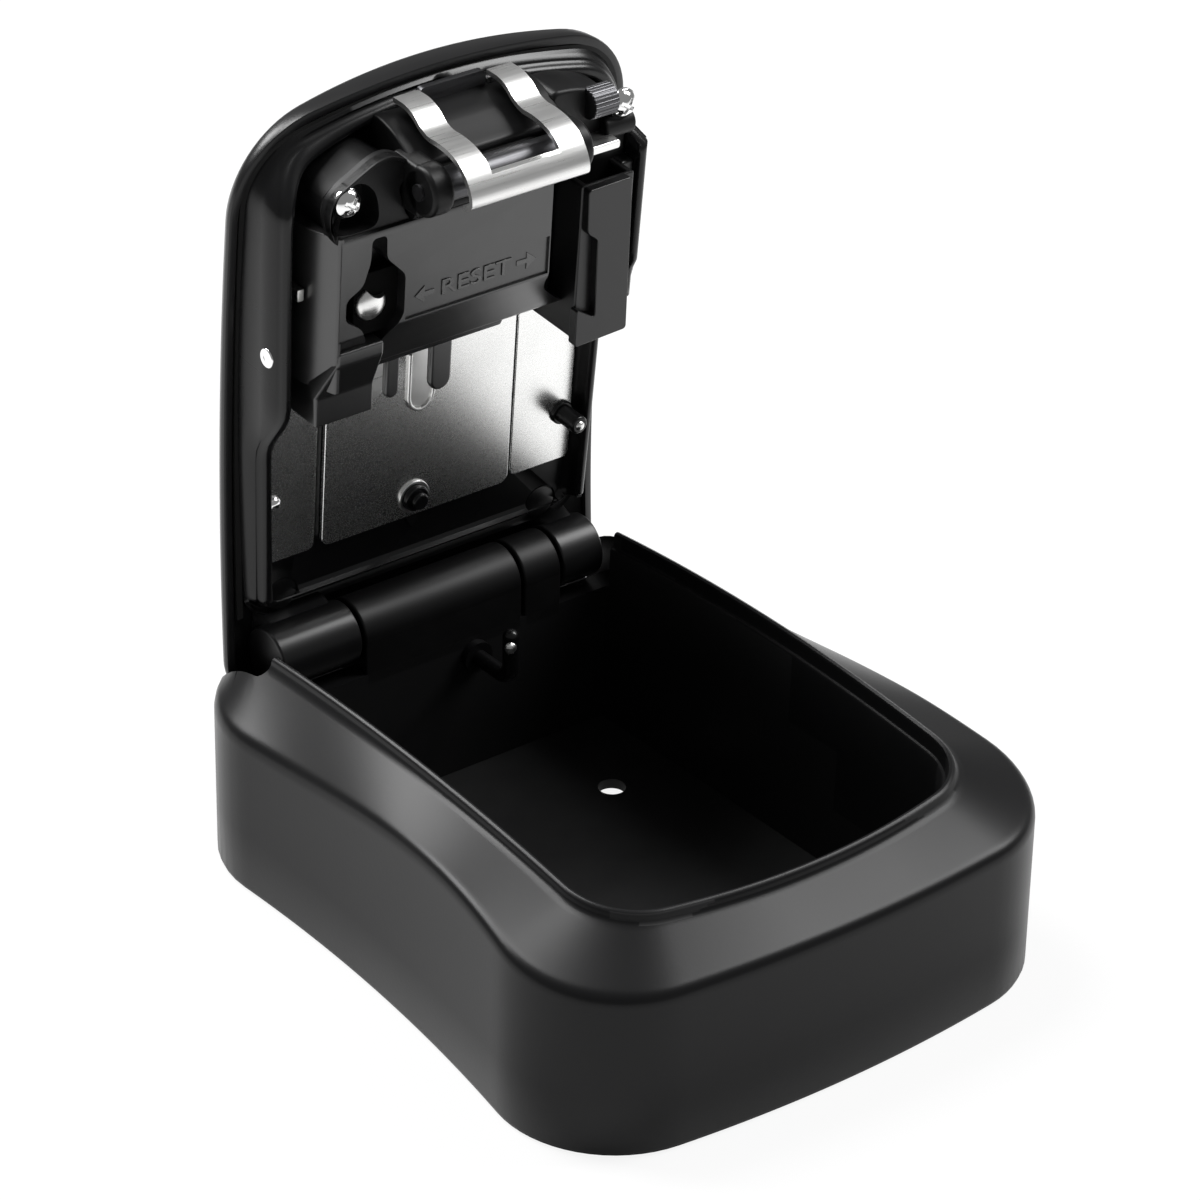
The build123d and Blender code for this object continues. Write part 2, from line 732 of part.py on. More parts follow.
def housing_cap():
    """The block between the lock and the latch end, with two cheeks for the shaft."""
    half = cap_width / 2
    low_face = bolt_level - bolt_thickness / 2 - slot_clearance
    near = housing_high + housing_gap
    corners = [(near, low_face), (cap_reach, low_face), (cap_reach, ear_level)]
    corners += [(cap_reach - cap_cheek, housing_front), (near, housing_front + cap_cheek)]
    body = Pos(-half, 0, 0) * extrude(lid_side_face(corners), 2 * half, dir=(1, 0, 0))
    web = shaft_radius + cap_cheek / 2
    for side in (-1, 1):
        middle = side * (half - cap_cheek / 2)
        left, right = middle - cap_cheek / 2, middle + cap_cheek / 2
        body += lid_box(left, right, shaft_reach - web, shaft_reach + web, shaft_level, housing_front + cap_cheek * 2)
        body += lid_rod(left, right, shaft_reach, shaft_level, web)
        body += lid_box(left, right, near, cap_reach, low_face - 1, liner_face)
    trough = lid_rod(cap_cheek - half, half - cap_cheek, shaft_reach, shaft_level, web)
    return body - trough - lid_rod(-far / 2, far / 2, shaft_reach, shaft_level, shaft_radius / 2 + post_clearance)


def latch_shaft():
    """The dark shaft between the cheeks of the cap."""
    half = cap_width / 2
    body = lid_rod(cap_cheek - half + slide_gap, half - cap_cheek - slide_gap, shaft_reach, shaft_level, shaft_radius)
    return body + lid_rod(-half - slide_gap, half + slide_gap, shaft_reach, shaft_level, shaft_radius / 2)


def latch_clip():
    """A bent steel strip with a window, bulging over the shaft and folded back at its end."""
    top = (clip_top_reach, bolt_level - bolt_thickness - slot_clearance)
    bend = clip_thickness / 2
    crest = shaft_level - shaft_radius - clip_lip
    corners = [
        top, (clip_top_reach - bend, ear_level), (clip_top_reach - 2 * bend, shaft_level),
        (shaft_reach + shaft_radius - bend, crest - bend), (shaft_reach, crest - 2 * clip_lip + shaft_radius),
        (shaft_reach - clip_lip, crest),
    ]
    points = [(0, reach_y(reach), level_z(level)) for reach, level in corners]
    path = FilletPolyline(*points, radius=clip_thickness)
    start = Plane(origin=points[0], x_dir=(1, 0, 0), z_dir=path % 0)
    strip = sweep(start * Rectangle(clip_span, clip_thickness), path)
    gap = clip_span / 2 - clip_leg
    return strip - lid_box(-gap, gap, shaft_reach, far, shaft_level - shaft_radius, far)


def link_strip():
    """The end of a steel strip beside the right ear."""
    left = cap_width / 2 + housing_gap
    right = left + ear_radius + shaft_radius
    reach = housing_high + housing_wall
    level = ear_level + housing_wall
    return room(lid_box(left, right, reach - housing_wall, reach + housing_wall, level - bolt_thickness, level))


def housing_screws():
    """Two pan head screws through the ears into the lid."""
    screws = []
    for side in (-1, 1):
        shank = lid_post(side * ear_span / 2, ear_reach, ear_level, screw_end_level() - post_clearance, ear_screw_radius - post_clearance)
        head = lid_post(side * ear_span / 2, ear_reach, ear_level - ear_screw_head_height, ear_level, ear_screw_head_radius)
        screws.append(shank + head)
    return screws


def dial_centres():
    """Where each dial sits along the shaft."""
    first = -(dial_count - 1) * dial_pitch / 2
    return [first + number * dial_pitch for number in range(dial_count)]


def dial(across):
    """A number wheel with shallow flutes between its numbers."""
    body = lid_rod(across - dial_width / 2, across + dial_width / 2, dial_reach, dial_level, dial_radius)
    body -= lid_rod(across - far, across + far, dial_reach, dial_level, dial_shaft_radius + running_clearance)
    flute = Pos(0, dial_radius + dial_flute_radius / 3, 0) * Rot(0, 90, 0) * Cylinder(dial_flute_radius, 2 * dial_width)
    for number in range(dial_facets):
        turn = Rot(360 / dial_facets * (number + 0.5), 0, 0)
        body -= Pos(across, reach_y(dial_reach), level_z(dial_level)) * turn * flute
    return body


def dial_shaft():
    """The shaft that the dials turn on."""
    half = frame_half()
    return lid_rod(-half, half, dial_reach, dial_level, dial_shaft_radius)


def frame_half():
    """Half the width of the bracket round the dials."""
    return dial_row_half() + window_clearance + cheek_thickness - post_clearance * 4


def frame_floor():
    """Level of the bracket floor behind the dials."""
    return dial_level - dial_radius - spring_gap - 2 * spring_thickness


def dial_frame():
    """A bracket with two cheeks that carry the dial shaft."""
    half = frame_half()
    inner = dial_row_half() + window_clearance / 2
    foot = dial_radius / 2
    floor = frame_floor()
    body = lid_box(-half, half, dial_reach - foot * 1.6, dial_reach + foot * 1.6, floor - cheek_thickness / 2, floor)
    top = dial_level + dial_shaft_radius + cheek_thickness / 2
    for left, right in ((-half, -inner), (inner, half)):
        body += lid_box(left, right, dial_reach - foot, dial_reach + foot, floor - cheek_thickness / 2, top)
    return body - lid_rod(-far / 2, far / 2, dial_reach, dial_level, dial_shaft_radius + post_clearance)


def detent_springs():
    """A comb of leaf springs, one finger under each dial."""
    floor = frame_floor()
    half = dial_row_half()
    near = dial_reach - dial_radius * 0.8
    spine = lid_box(-half, half, near, near + 2 * cheek_thickness, floor, floor + spring_thickness)
    for across in dial_centres():
        left, right = across - spring_finger_width / 2, across + spring_finger_width / 2
        spine += lid_box(left, right, near, dial_reach + dial_flute_radius, floor, floor + spring_thickness)
        tip_near, tip_out = dial_reach - dial_flute_radius, dial_reach + dial_flute_radius
        spine += lid_box(left, right, tip_near, tip_out, floor, floor + 2 * spring_thickness)
    return spine


def face_layer(piece, low, high):
    """A piece cut between two surfaces that follow the domed face of the lid."""
    return (piece & under_dome(lid_top + high)) - under_dome(lid_top + low)


def dial_bezel():
    """A frame on the face of the lid with one slot for each dial."""
    half = dial_row_half() + window_clearance + bezel_frame
    near, out = dial_reach - window_half() - bezel_frame, dial_reach + window_half() + bezel_frame
    plate = face_layer(lid_box(-half, half, near, out, 0, 2 * dial_radius), 0, bezel_thickness)
    slot_half = dial_width / 2 + (dial_pitch - dial_width) / 4
    slot_reach = sqrt(dial_radius**2 - (dial_radius / 2) ** 2) + window_clearance / 2
    for across in dial_centres():
        plate -= lid_box(across - slot_half, across + slot_half, dial_reach - slot_reach, dial_reach + slot_reach, 0, far)
    return plate


def rail_levels():
    """Levels of the cover rails: underside of the flange, its top, and the roof of the cover."""
    top = dial_level + dial_radius + bezel_thickness / 10
    return top - rail_flange_thickness, top, top + slide_gap


def rail_inner():
    """Distance from the middle to the inside of a cover rail."""
    return dial_row_half() + window_clearance + bezel_frame + slide_gap


def cover_rails():
    """Two flanged rails on the face of the lid that the weather cover slides on."""
    under, top, roof = rail_levels()
    near, out = cover_reach - cover_length / 2 - slide_gap, cover_reach + cover_length / 2 + cover_travel + slide_gap
    inner = rail_inner()
    rails = []
    for side in (-1, 1):
        stem = sorted((side * inner, side * (inner + rail_stem)))
        flange = sorted((side * inner, side * (inner + rail_stem + rail_flange)))
        rail = lid_box(stem[0], stem[1], near, out, 0, top) + lid_box(flange[0], flange[1], near, out, under, top)
        rails.append(rail - under_dome(lid_top))
    return rails


def dial_cover():
    """A sliding weather cover for the dials, hooked round both rails."""
    under, top, roof = rail_levels()
    near, out = cover_reach - cover_length / 2, cover_reach + cover_length / 2
    inner = rail_inner() + rail_stem + rail_flange + slide_gap
    outer = inner + cover_thickness
    lip_top = under - slide_gap
    lip_low = lip_top - cover_thickness / 2
    body = lid_box(-outer, outer, near, out, lip_low, roof + cover_thickness)
    body -= lid_box(-inner, inner, near - 1, out + 1, lip_top, roof)
    lip = rail_inner() + rail_stem + slide_gap
    body -= lid_box(-lip, lip, near - 1, out + 1, lip_low - 1, lip_top + 1)
    tail = rail_inner() - slide_gap
    return body + lid_box(-tail, tail, near, near + cover_thickness, lip_top, roof)


def latch_bolt():
    """A flat bolt that slides out through the end of the liner."""
    half = bolt_width / 2
    low, high = bolt_level - bolt_thickness / 2, bolt_level + bolt_thickness / 2
    body = lid_box(-half, half, bolt_tail, bolt_reach, low, high)
    tip = body.edges().filter_by(Axis.Z).sort_by(Axis.Y)[:2]
    return fillet(tip, bolt_thickness)


def release_slider():
    """The thumb slider on the face of the lid, with a stem down to the bolt."""
    half, length = slider_width / 2, slider_length / 2
    high = bolt_level + bolt_thickness / 2
    pad = lid_box(-half, half, slider_reach - length, slider_reach + length, 0, far / 4)
    pad = face_layer(pad, slider_lift + slider_height / 4, slider_lift + slider_height)
    across, along = slider_stem_width / 2, slider_stem_length / 2
    stem = lid_box(-across, across, slider_reach - along, slider_reach + along, high, far / 4)
    return pad + (stem & under_dome(lid_top + slider_lift + slider_height / 2))


def reset_lever():
    """A half round knob on a thin plate that slides behind the reset slot."""
    low = housing_front + housing_wall + slide_gap
    high = low + bolt_thickness
    reach, half = reset_reach, slot_belly + reset_radius - reset_travel - slide_gap
    left, right = slot_across - half + reset_travel, slot_across + half
    plate = lid_box(left, right, reach - slot_belly, reach + slot_belly, low, high)
    knob = lid_post(slot_across, reach, housing_front + band_depth, low, reset_radius)
    flat = slot_across - reset_radius / 3
    return plate + (knob - lid_box(slot_across - 2 * reset_radius, flat, 0, far, -far, far))


fixed_pieces = {
    "case_shell": case_shell, "back_plate": back_plate, "back_plate_screws": back_plate_screws,
    "hinge_pin": hinge_pin, "key_hook": key_hook, "strike_plate": strike_plate,
}
lid_pieces = {
    "lid_shell": lid_shell, "lid_seal": lid_seal, "lid_liner": lid_liner, "armour_left": armour_left,
    "armour_middle": armour_middle, "armour_right": armour_right, "plate_peg": plate_peg,
    "guide_post": guide_post, "side_screws": side_screws, "lock_housing": lock_housing,
    "side_tower": side_tower, "housing_cap": housing_cap, "latch_shaft": latch_shaft,
    "latch_clip": latch_clip, "link_strip": link_strip, "housing_screws": housing_screws,
    "dial_shaft": dial_shaft, "dial_frame": dial_frame, "detent_springs": detent_springs,
    "dial_bezel": dial_bezel, "cover_rails": cover_rails, "dial_cover": dial_cover,
    "latch_bolt": latch_bolt, "release_slider": release_slider, "reset_lever": reset_lever,
}


def write_piece(name, piece):
    """Write one named piece, which may be several bodies of the same kind."""
    bodies = piece if isinstance(piece, list) else [piece]
    export_step(Compound([body for one in bodies for body in one.solids()]), f"parts/{name}.step")


os.makedirs("parts", exist_ok=True)
for name, make in fixed_pieces.items():
    write_piece(name, make())
for name, make in lid_pieces.items():
    made = make()
    bodies = made if isinstance(made, list) else [made]
    write_piece(name, [opened(body) for body in bodies])
for number, across in enumerate(dial_centres(), start=1):
    write_piece(f"dial_{number}", opened(dial(across)))
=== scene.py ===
import math
from collections import namedtuple
from functools import partial

import bmesh
import bpy
from mathutils import Matrix, Vector


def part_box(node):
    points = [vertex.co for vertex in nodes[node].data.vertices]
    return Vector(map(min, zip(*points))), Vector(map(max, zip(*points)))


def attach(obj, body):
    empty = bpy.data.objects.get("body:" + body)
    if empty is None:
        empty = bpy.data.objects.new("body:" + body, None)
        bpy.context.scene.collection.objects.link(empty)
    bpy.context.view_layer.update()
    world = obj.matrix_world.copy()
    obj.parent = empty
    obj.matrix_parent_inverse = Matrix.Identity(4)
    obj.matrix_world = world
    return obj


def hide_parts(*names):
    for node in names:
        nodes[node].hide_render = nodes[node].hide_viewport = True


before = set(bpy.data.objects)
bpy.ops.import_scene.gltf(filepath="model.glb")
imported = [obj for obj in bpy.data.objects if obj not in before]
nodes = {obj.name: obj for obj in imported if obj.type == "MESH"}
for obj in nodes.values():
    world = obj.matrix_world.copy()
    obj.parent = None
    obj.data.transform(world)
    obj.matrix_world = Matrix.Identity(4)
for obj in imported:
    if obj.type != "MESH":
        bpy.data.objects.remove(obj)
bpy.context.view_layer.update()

# Millimetres, as in the drawing of the safe: the hinge line, its barrel's radius and the lid's open angle.
MM = 0.001
HINGE_Y = 51.9
HINGE_Z = 36.4
OPEN = math.radians(86.0)
BARREL = 6.0
LID_SWING = Matrix.Translation(Vector((0, HINGE_Y, HINGE_Z)) * MM) @ Matrix.Rotation(-OPEN, 4, "X")

# Edges that turn by more than this many degrees stay crisp, on small pieces and on the large cast ones.
CRISP = 32
CAST_CRISP = 38


# working on meshes
def deselect():
    """Start from a clean selection in object mode."""
    if bpy.context.object and bpy.context.object.mode != "OBJECT":
        bpy.ops.object.mode_set(mode="OBJECT")
    bpy.ops.object.select_all(action="DESELECT")


def pick(obj):
    """Make one object the only selected and active one."""
    deselect()
    obj.select_set(True)
    bpy.context.view_layer.objects.active = obj


def settle(obj):
    """Bake the object's place into its mesh."""
    pick(obj)
    bpy.ops.object.transform_apply(location=True, rotation=True, scale=True)


def edit(obj, kind="FACE"):
    """Open a mesh for editing with nothing selected."""
    pick(obj)
    bpy.ops.object.mode_set(mode="EDIT")
    bpy.ops.mesh.select_mode(type=kind)
    bpy.ops.mesh.select_all(action="DESELECT")
    return bmesh.from_edit_mesh(obj.data)


def leave(obj):
    bpy.ops.object.mode_set(mode="OBJECT")
    return obj


def select_faces(obj, test):
    """Select the faces that pass a test, and stay in edit mode."""
    for face in edit(obj).faces:
        face.select_set(test(face))
    bmesh.update_edit_mesh(obj.data)


def select_edges(obj, test):
    """Select the edges whose two ends pass a test, and stay in edit mode."""
    for edge in edit(obj, "EDGE").edges:
        edge.select_set(test(*(vert.co / MM for vert in edge.verts)))
    bmesh.update_edit_mesh(obj.data)


def modifier(obj, kind, **values):
    """Add a modifier, set it and apply it."""
    pick(obj)
    made = obj.modifiers.new(kind.lower(), kind)
    for name, value in values.items():
        setattr(made, name, value)
    bpy.ops.object.modifier_apply(modifier=made.name)
    return obj


def rounded(obj, width, segments=3, angle=CRISP):
    """Round every sharp edge."""
    modifier(
        obj, "BEVEL", width=width * MM, segments=segments, limit_method="ANGLE",
        angle_limit=math.radians(angle), harden_normals=False, use_clamp_overlap=True,
    )
    smooth(obj)
    return modifier(obj, "WEIGHTED_NORMAL", mode="FACE_AREA", weight=60, keep_sharp=True)


def smooth(obj, angle=CRISP):
    pick(obj)
    bpy.ops.object.shade_smooth_by_angle(angle=math.radians(angle))
    return obj


def outwards(obj):
    """Turn all faces of a closed mesh outwards."""
    edit(obj)
    bpy.ops.mesh.select_all(action="SELECT")
    bpy.ops.mesh.remove_doubles(threshold=0.002 * MM)
    bpy.ops.mesh.normals_make_consistent(inside=False)
    return leave(obj)


def join(name, pieces):
    """Join several pieces into one object."""
    deselect()
    for piece in pieces:
        piece.select_set(True)
    bpy.context.view_layer.objects.active = pieces[0]
    if len(pieces) > 1:
        bpy.ops.object.join()
    pieces[0].name = name
    return pieces[0]


def cut(obj, cutters, operation="DIFFERENCE"):
    """Cut a piece with others and remove them."""
    for cutter in cutters:
        modifier(obj, "BOOLEAN", operation=operation, solver="EXACT", object=cutter)
        bpy.data.objects.remove(cutter)
    return obj


def linked(name, data):
    """A new object in the scene."""
    obj = bpy.data.objects.new(name, data)
    bpy.context.scene.collection.objects.link(obj)
    return obj


def copied(obj, name, matrix):
    """A copy with its own mesh, moved by a matrix in metres."""
    mesh = obj.data.copy()
    mesh.transform(matrix)
    return linked(name, mesh)


# primitives in millimetres
def scaled(values):
    return [value * MM for value in values]


def named(name):
    """Name the piece that was just added and bake its place into its mesh."""
    obj = bpy.context.object
    obj.name = name
    settle(obj)
    return obj


def box(name, low, high):
    """A block between two corners."""
    deselect()
    centre = [(a + b) / 2 * MM for a, b in zip(low, high)]
    bpy.ops.mesh.primitive_cube_add(size=1, location=centre, scale=[(b - a) * MM for a, b in zip(low, high)])
    return named(name)


def rod(name, centre, radius, length, axis, sides):
    """A round bar along one axis."""
    deselect()
    turns = {"X": (0, math.pi / 2, 0), "Y": (math.pi / 2, 0, 0), "Z": (0, 0, 0)}
    bpy.ops.mesh.primitive_cylinder_add(
        vertices=sides, radius=radius * MM, depth=length * MM, location=scaled(centre), rotation=turns[axis],
    )
    return named(name)


def ball(name, centre, radius, squash, segments):
    """A ball that may be squashed along its axes."""
    deselect()
    bpy.ops.mesh.primitive_uv_sphere_add(
        segments=segments, ring_count=segments // 2, radius=radius * MM, location=scaled(centre),
        scale=squash,
    )
    return named(name)


def pulled(name, points, move):
    """A flat outline pulled along a straight line."""
    mesh = bpy.data.meshes.new(name)
    mesh.from_pydata([scaled(point) for point in points], [], [list(range(len(points)))])
    obj = linked(name, mesh)
    edit(obj)
    bpy.ops.mesh.select_all(action="SELECT")
    bpy.ops.mesh.extrude_region_move(TRANSFORM_OT_translate={"value": scaled(move)})
    leave(obj)
    return outwards(obj)


def rings(name, outlines, closed=True):
    """A skin through a row of loops that all have the same number of points, closed at both ends or open."""
    count = len(outlines[0])
    faces = []
    for level in range(len(outlines) - 1):
        start, after = level * count, (level + 1) * count
        for i in range(count):
            j = (i + 1) % count
            faces.append((start + i, start + j, after + j, after + i))
    if closed:
        faces.append(list(range(count))[::-1])
        faces.append([(len(outlines) - 1) * count + i for i in range(count)])
    mesh = bpy.data.meshes.new(name)
    mesh.from_pydata([scaled(point) for loop in outlines for point in loop], [], faces)
    return linked(name, mesh)


# Lid space: across, reach away from the hinge and level above it, on the shut lid.
def lid_box(name, left, right, near, out, low, high):
    """A block on the shut lid."""
    return box(name, (left, HINGE_Y - out, HINGE_Z + low), (right, HINGE_Y - near, HINGE_Z + high))


def lid_slab(name, corners, low, high):
    """An outline in across and reach pulled up between two levels."""
    points = [(across, HINGE_Y - reach, HINGE_Z + low) for across, reach in corners]
    return pulled(name, points, (0, 0, high - low))


def across_slab(name, profile, left, right):
    """An outline in reach and level pulled across the lid."""
    points = [(left, HINGE_Y - reach, HINGE_Z + level) for reach, level in profile]
    return pulled(name, points, (right - left, 0, 0))


def lid_rod(name, across, reach, low, high, radius, sides=48):
    """A round post standing square to the lid."""
    return rod(name, (across, HINGE_Y - reach, HINGE_Z + (low + high) / 2), radius, high - low, "Z", sides)


def swing_open(obj):
    """Swing a finished piece from the shut lid to the open one."""
    obj.data.transform(Matrix.Translation(Vector((0, -HINGE_Y, -HINGE_Z)) * MM))
    obj.data.transform(LID_SWING)
    obj.data.update()
    return obj


# outlines
ARC_HANDLE = 0.5523
SIDE_POINTS, END_POINTS, NOSE_POINTS, TAIL_POINTS = 40, 40, 16, 12


def bend(start, corner, finish, count):
    """Points of a round corner between two places."""
    points = []
    one = [a + ARC_HANDLE * (b - a) for a, b in zip(start, corner)]
    two = [a + ARC_HANDLE * (b - a) for a, b in zip(finish, corner)]
    for step in range(count):
        t = step / count
        s = 1 - t
        points.append(tuple(
            s**3 * a + 3 * s * s * t * b + 3 * s * t * t * c + t**3 * d
            for a, b, c, d in zip(start, one, two, finish)
        ))
    return points


def corner_arc(side, end, radius, low, high, count):
    """A round corner that touches a side and an end, as points from the side to the end."""

    def slope(y):
        return (side(y + 0.01) - side(y - 0.01)) / 0.02

    def centre(y):
        lean = slope(y)
        size = math.hypot(1, lean)
        return side(y) - radius / size, y + radius * lean / size

    def nearest(spot):
        left, right = 0.0, side(low if abs(low) > abs(high) else high) + 20
        for step in range(60):
            one, two = left + (right - left) / 3, right - (right - left) / 3
            if math.dist(spot, (one, end(one))) < math.dist(spot, (two, end(two))):
                right = two
            else:
                left = one
        return left, end(left)

    outer, inner = low, high
    for step in range(50):
        y = (outer + inner) / 2
        if math.dist(centre(y), nearest(centre(y))) < radius:
            outer = y
        else:
            inner = y
    spot = centre(y)
    touch = nearest(spot)
    first = math.atan2(y - spot[1], side(y) - spot[0])
    last = math.atan2(touch[1] - spot[1], touch[0] - spot[0])
    turns = [first + (last - first) * step / count for step in range(count + 1)]
    return y, touch[0], [(spot[0] + radius * math.cos(t), spot[1] + radius * math.sin(t)) for t in turns]


def outline(front, back, width_back, width_waist, width_front, bow, nose, tail):
    """A waisted outline with a bowed front end and round corners, as 176 points from the back right."""
    half_back, half_waist, half_front = width_back / 2, width_waist / 2, width_front / 2

    def side(y):
        t = (back - y) / (back - front)
        return half_back * (1 - t) * (1 - 2 * t) + half_waist * 4 * t * (1 - t) + half_front * t * (2 * t - 1)

    def end(x):
        return front - bow * (1 - (x / half_front) ** 2)

    middle = (front + back) / 2
    low, reach, nose_points = corner_arc(side, end, nose, front - nose, middle, NOSE_POINTS)
    top, _, tail_points = corner_arc(side, lambda x: back, tail, back + tail, middle, TAIL_POINTS)
    points = []
    for step in range(SIDE_POINTS):
        y = top + (low - top) * step / SIDE_POINTS
        points.append((side(y), y))
    points += nose_points[:-1]
    for step in range(END_POINTS):
        x = reach - 2 * reach * step / END_POINTS
        points.append((x, end(x)))
    points += [(-x, y) for x, y in nose_points[:0:-1]]
    for step in range(SIDE_POINTS):
        y = low + (top - low) * step / SIDE_POINTS
        points.append((-side(y), y))
    points += [(-x, y) for x, y in tail_points[:-1]]
    points += tail_points[:0:-1]
    return points


Shape = namedtuple("Shape", "front back width_back width_waist width_front bow nose tail")
CASE_SHAPE = Shape(-62.75, 62.75, 103.6, 98.4, 114.8, 5.8, 22.0, 22.0)
RIM_SHAPE = Shape(-52.45, 61.15, 76.4, 79.4, 81.2, 5.8, 14.0, 14.0)
LID_SHAPE = Shape(-50.25, 61.1, 81.6, 81.4, 84.4, 6.2, 18.0, 7.0)
LINER_SHAPE = Shape(-46.75, 45.3, 71.0, 74.0, 75.8, 6.2, 12.0, 5.0)


def drawn_in(shape, inset=0.0, tail_share=1.0):
    """A shape's outline moved inwards. Its rear corners may shrink more slowly."""
    return outline(
        shape.front + inset, shape.back - inset, shape.width_back - 2 * inset, shape.width_waist - 2 * inset,
        shape.width_front - 2 * inset, shape.bow, shape.nose - inset, shape.tail - inset * tail_share,
    )


case_outline = partial(drawn_in, CASE_SHAPE)
rim_outline = partial(drawn_in, RIM_SHAPE)
lid_outline = partial(drawn_in, LID_SHAPE, tail_share=0.9)
liner_outline = partial(drawn_in, LINER_SHAPE)
CROWN_RISE, CROWN_MIDDLE, CROWN_HALF = 3.6, 4.35, 56.8


def crown(y):
    """How far the rim and the lid edge rise above their ends."""
    share = (y - CROWN_MIDDLE) / CROWN_HALF
    return CROWN_RISE * (1 - share * share)


def at(points, height):
    """Give an outline its height, which may follow a rule."""
    return [(x, y, height(y) if callable(height) else height) for x, y in points]


def between(first, second, share):
    return [tuple(a + (b - a) * share for a, b in zip(p, q)) for p, q in zip(first, second)]


# materials
def shader_group(name, inputs, outputs, build):
    """A node group with named sockets. It gives out only colours, masks, values and normals."""
    group = bpy.data.node_groups.new(name, "ShaderNodeTree")
    for label, kind, value in inputs:
        socket = group.interface.new_socket(name=label, in_out="INPUT", socket_type=kind)
        if value is not None:
            socket.default_value = value
    for label, kind in outputs:
        group.interface.new_socket(name=label, in_out="OUTPUT", socket_type=kind)
    first = group.nodes.new("NodeGroupInput")
    last = group.nodes.new("NodeGroupOutput")
    build(group.nodes, group.links, first, last)
    return group


FLOAT, VECTOR, COLOUR = "NodeSocketFloat", "NodeSocketVector", "NodeSocketColor"
# The range that most values of a noise texture lie in.
NOISE_RANGE = (0.3, 0.7)
BROAD_SCALE, PATCH_SCALE, SMUDGE_SCALE = 22.0, 160.0, 35.0
# The pointiness at which an edge starts to show wear and at which it is fully worn.
EDGE_RANGE = (0.515, 0.58)
SMUDGE_SHADE = 0.86


def feed(links, socket, value):
    """Set a socket to a number, or link another socket to it."""
    if isinstance(value, (int, float)):
        socket.default_value = value
    else:
        links.new(value, socket)


def worked_out(tree, links, operation, *values):
    """The result of a math node on sockets or numbers."""
    node = tree.new("ShaderNodeMath")
    node.operation = operation
    for socket, value in zip(node.inputs, values):
        feed(links, socket, value)
    return node.outputs[0]


def noise(tree, links, vector, scale, detail, roughness=0.5):
    node = tree.new("ShaderNodeTexNoise")
    node.inputs["Detail"].default_value = detail
    node.inputs["Roughness"].default_value = roughness
    feed(links, node.inputs["Scale"], scale)
    links.new(vector, node.inputs["Vector"])
    return node.outputs["Fac"]


def spread(tree, links, value, low, high, to_low, to_high):
    """Map a range of values to another range."""
    node = tree.new("ShaderNodeMapRange")
    node.inputs["From Min"].default_value = low
    node.inputs["From Max"].default_value = high
    feed(links, node.inputs["To Min"], to_low)
    feed(links, node.inputs["To Max"], to_high)
    links.new(value, node.inputs["Value"])
    return node.outputs["Result"]


def build_grain(tree, links, first, last):
    """Fine moulded or powder-coated texture with a broad, faint change of gloss."""
    vector, roughness, change = (first.outputs[label] for label in ("Vector", "Roughness", "Change"))
    links.new(noise(tree, links, vector, first.outputs["Scale"], 3), last.inputs["Height"])
    low = worked_out(tree, links, "SUBTRACT", roughness, change)
    high = worked_out(tree, links, "ADD", roughness, change)
    broad = noise(tree, links, vector, BROAD_SCALE, 2)
    links.new(spread(tree, links, broad, *NOISE_RANGE, low, high), last.inputs["Roughness"])


grain_group = shader_group(
    "fine_grain",
    [("Vector", VECTOR, None), ("Scale", FLOAT, 900.0), ("Roughness", FLOAT, 0.4), ("Change", FLOAT, 0.04)],
    [("Height", FLOAT), ("Roughness", FLOAT)],
    build_grain,
)


def build_edges(tree, links, first, last):
    """Lightly rubbed edges, broken up by noise."""
    shape = tree.new("ShaderNodeNewGeometry")
    worn = spread(tree, links, shape.outputs["Pointiness"], *EDGE_RANGE, 0.0, 1.0)
    patches = noise(tree, links, first.outputs["Vector"], PATCH_SCALE, 4)
    kept = spread(tree, links, patches, 0.4, 0.62, 0.25, 1.0)
    both = worked_out(tree, links, "MULTIPLY", worn, kept)
    strength = worked_out(tree, links, "MULTIPLY", both, first.outputs["Amount"])
    mix = tree.new("ShaderNodeMix")
    mix.data_type = "RGBA"
    links.new(strength, mix.inputs["Factor"])
    links.new(first.outputs["Colour"], mix.inputs["A"])
    links.new(first.outputs["Worn colour"], mix.inputs["B"])
    links.new(mix.outputs["Result"], last.inputs["Colour"])


edge_group = shader_group(
    "rubbed_edges",
    [("Vector", VECTOR, None), ("Colour", COLOUR, (0.02, 0.02, 0.02, 1)),
     ("Worn colour", COLOUR, (0.1, 0.1, 0.1, 1)), ("Amount", FLOAT, 0.5)],
    [("Colour", COLOUR)],
    build_edges,
)


def build_brush(tree, links, first, last):
    """Fine lines of rolled or brushed metal along one axis, and faint smudges."""
    vector, roughness = first.outputs["Vector"], first.outputs["Roughness"]
    stretch = tree.new("ShaderNodeMapping")
    links.new(vector, stretch.inputs["Vector"])
    links.new(first.outputs["Stretch"], stretch.inputs["Scale"])
    lines = noise(tree, links, stretch.outputs["Vector"], 1.0, 4, 0.6)
    links.new(lines, last.inputs["Height"])
    low = worked_out(tree, links, "MULTIPLY", roughness, first.outputs["Low"])
    high = worked_out(tree, links, "MULTIPLY", roughness, first.outputs["High"])
    links.new(spread(tree, links, lines, *NOISE_RANGE, low, high), last.inputs["Roughness"])
    smudge = noise(tree, links, vector, SMUDGE_SCALE, 3)
    links.new(spread(tree, links, smudge, *NOISE_RANGE, SMUDGE_SHADE, 1.0), last.inputs["Shade"])


brush_group = shader_group(
    "brushed_lines",
    [("Vector", VECTOR, None), ("Stretch", VECTOR, (60.0, 60.0, 3000.0)), ("Roughness", FLOAT, 0.15),
     ("Low", FLOAT, 0.75), ("High", FLOAT, 1.3)],
    [("Height", FLOAT), ("Roughness", FLOAT), ("Shade", FLOAT)],
    build_brush,
)


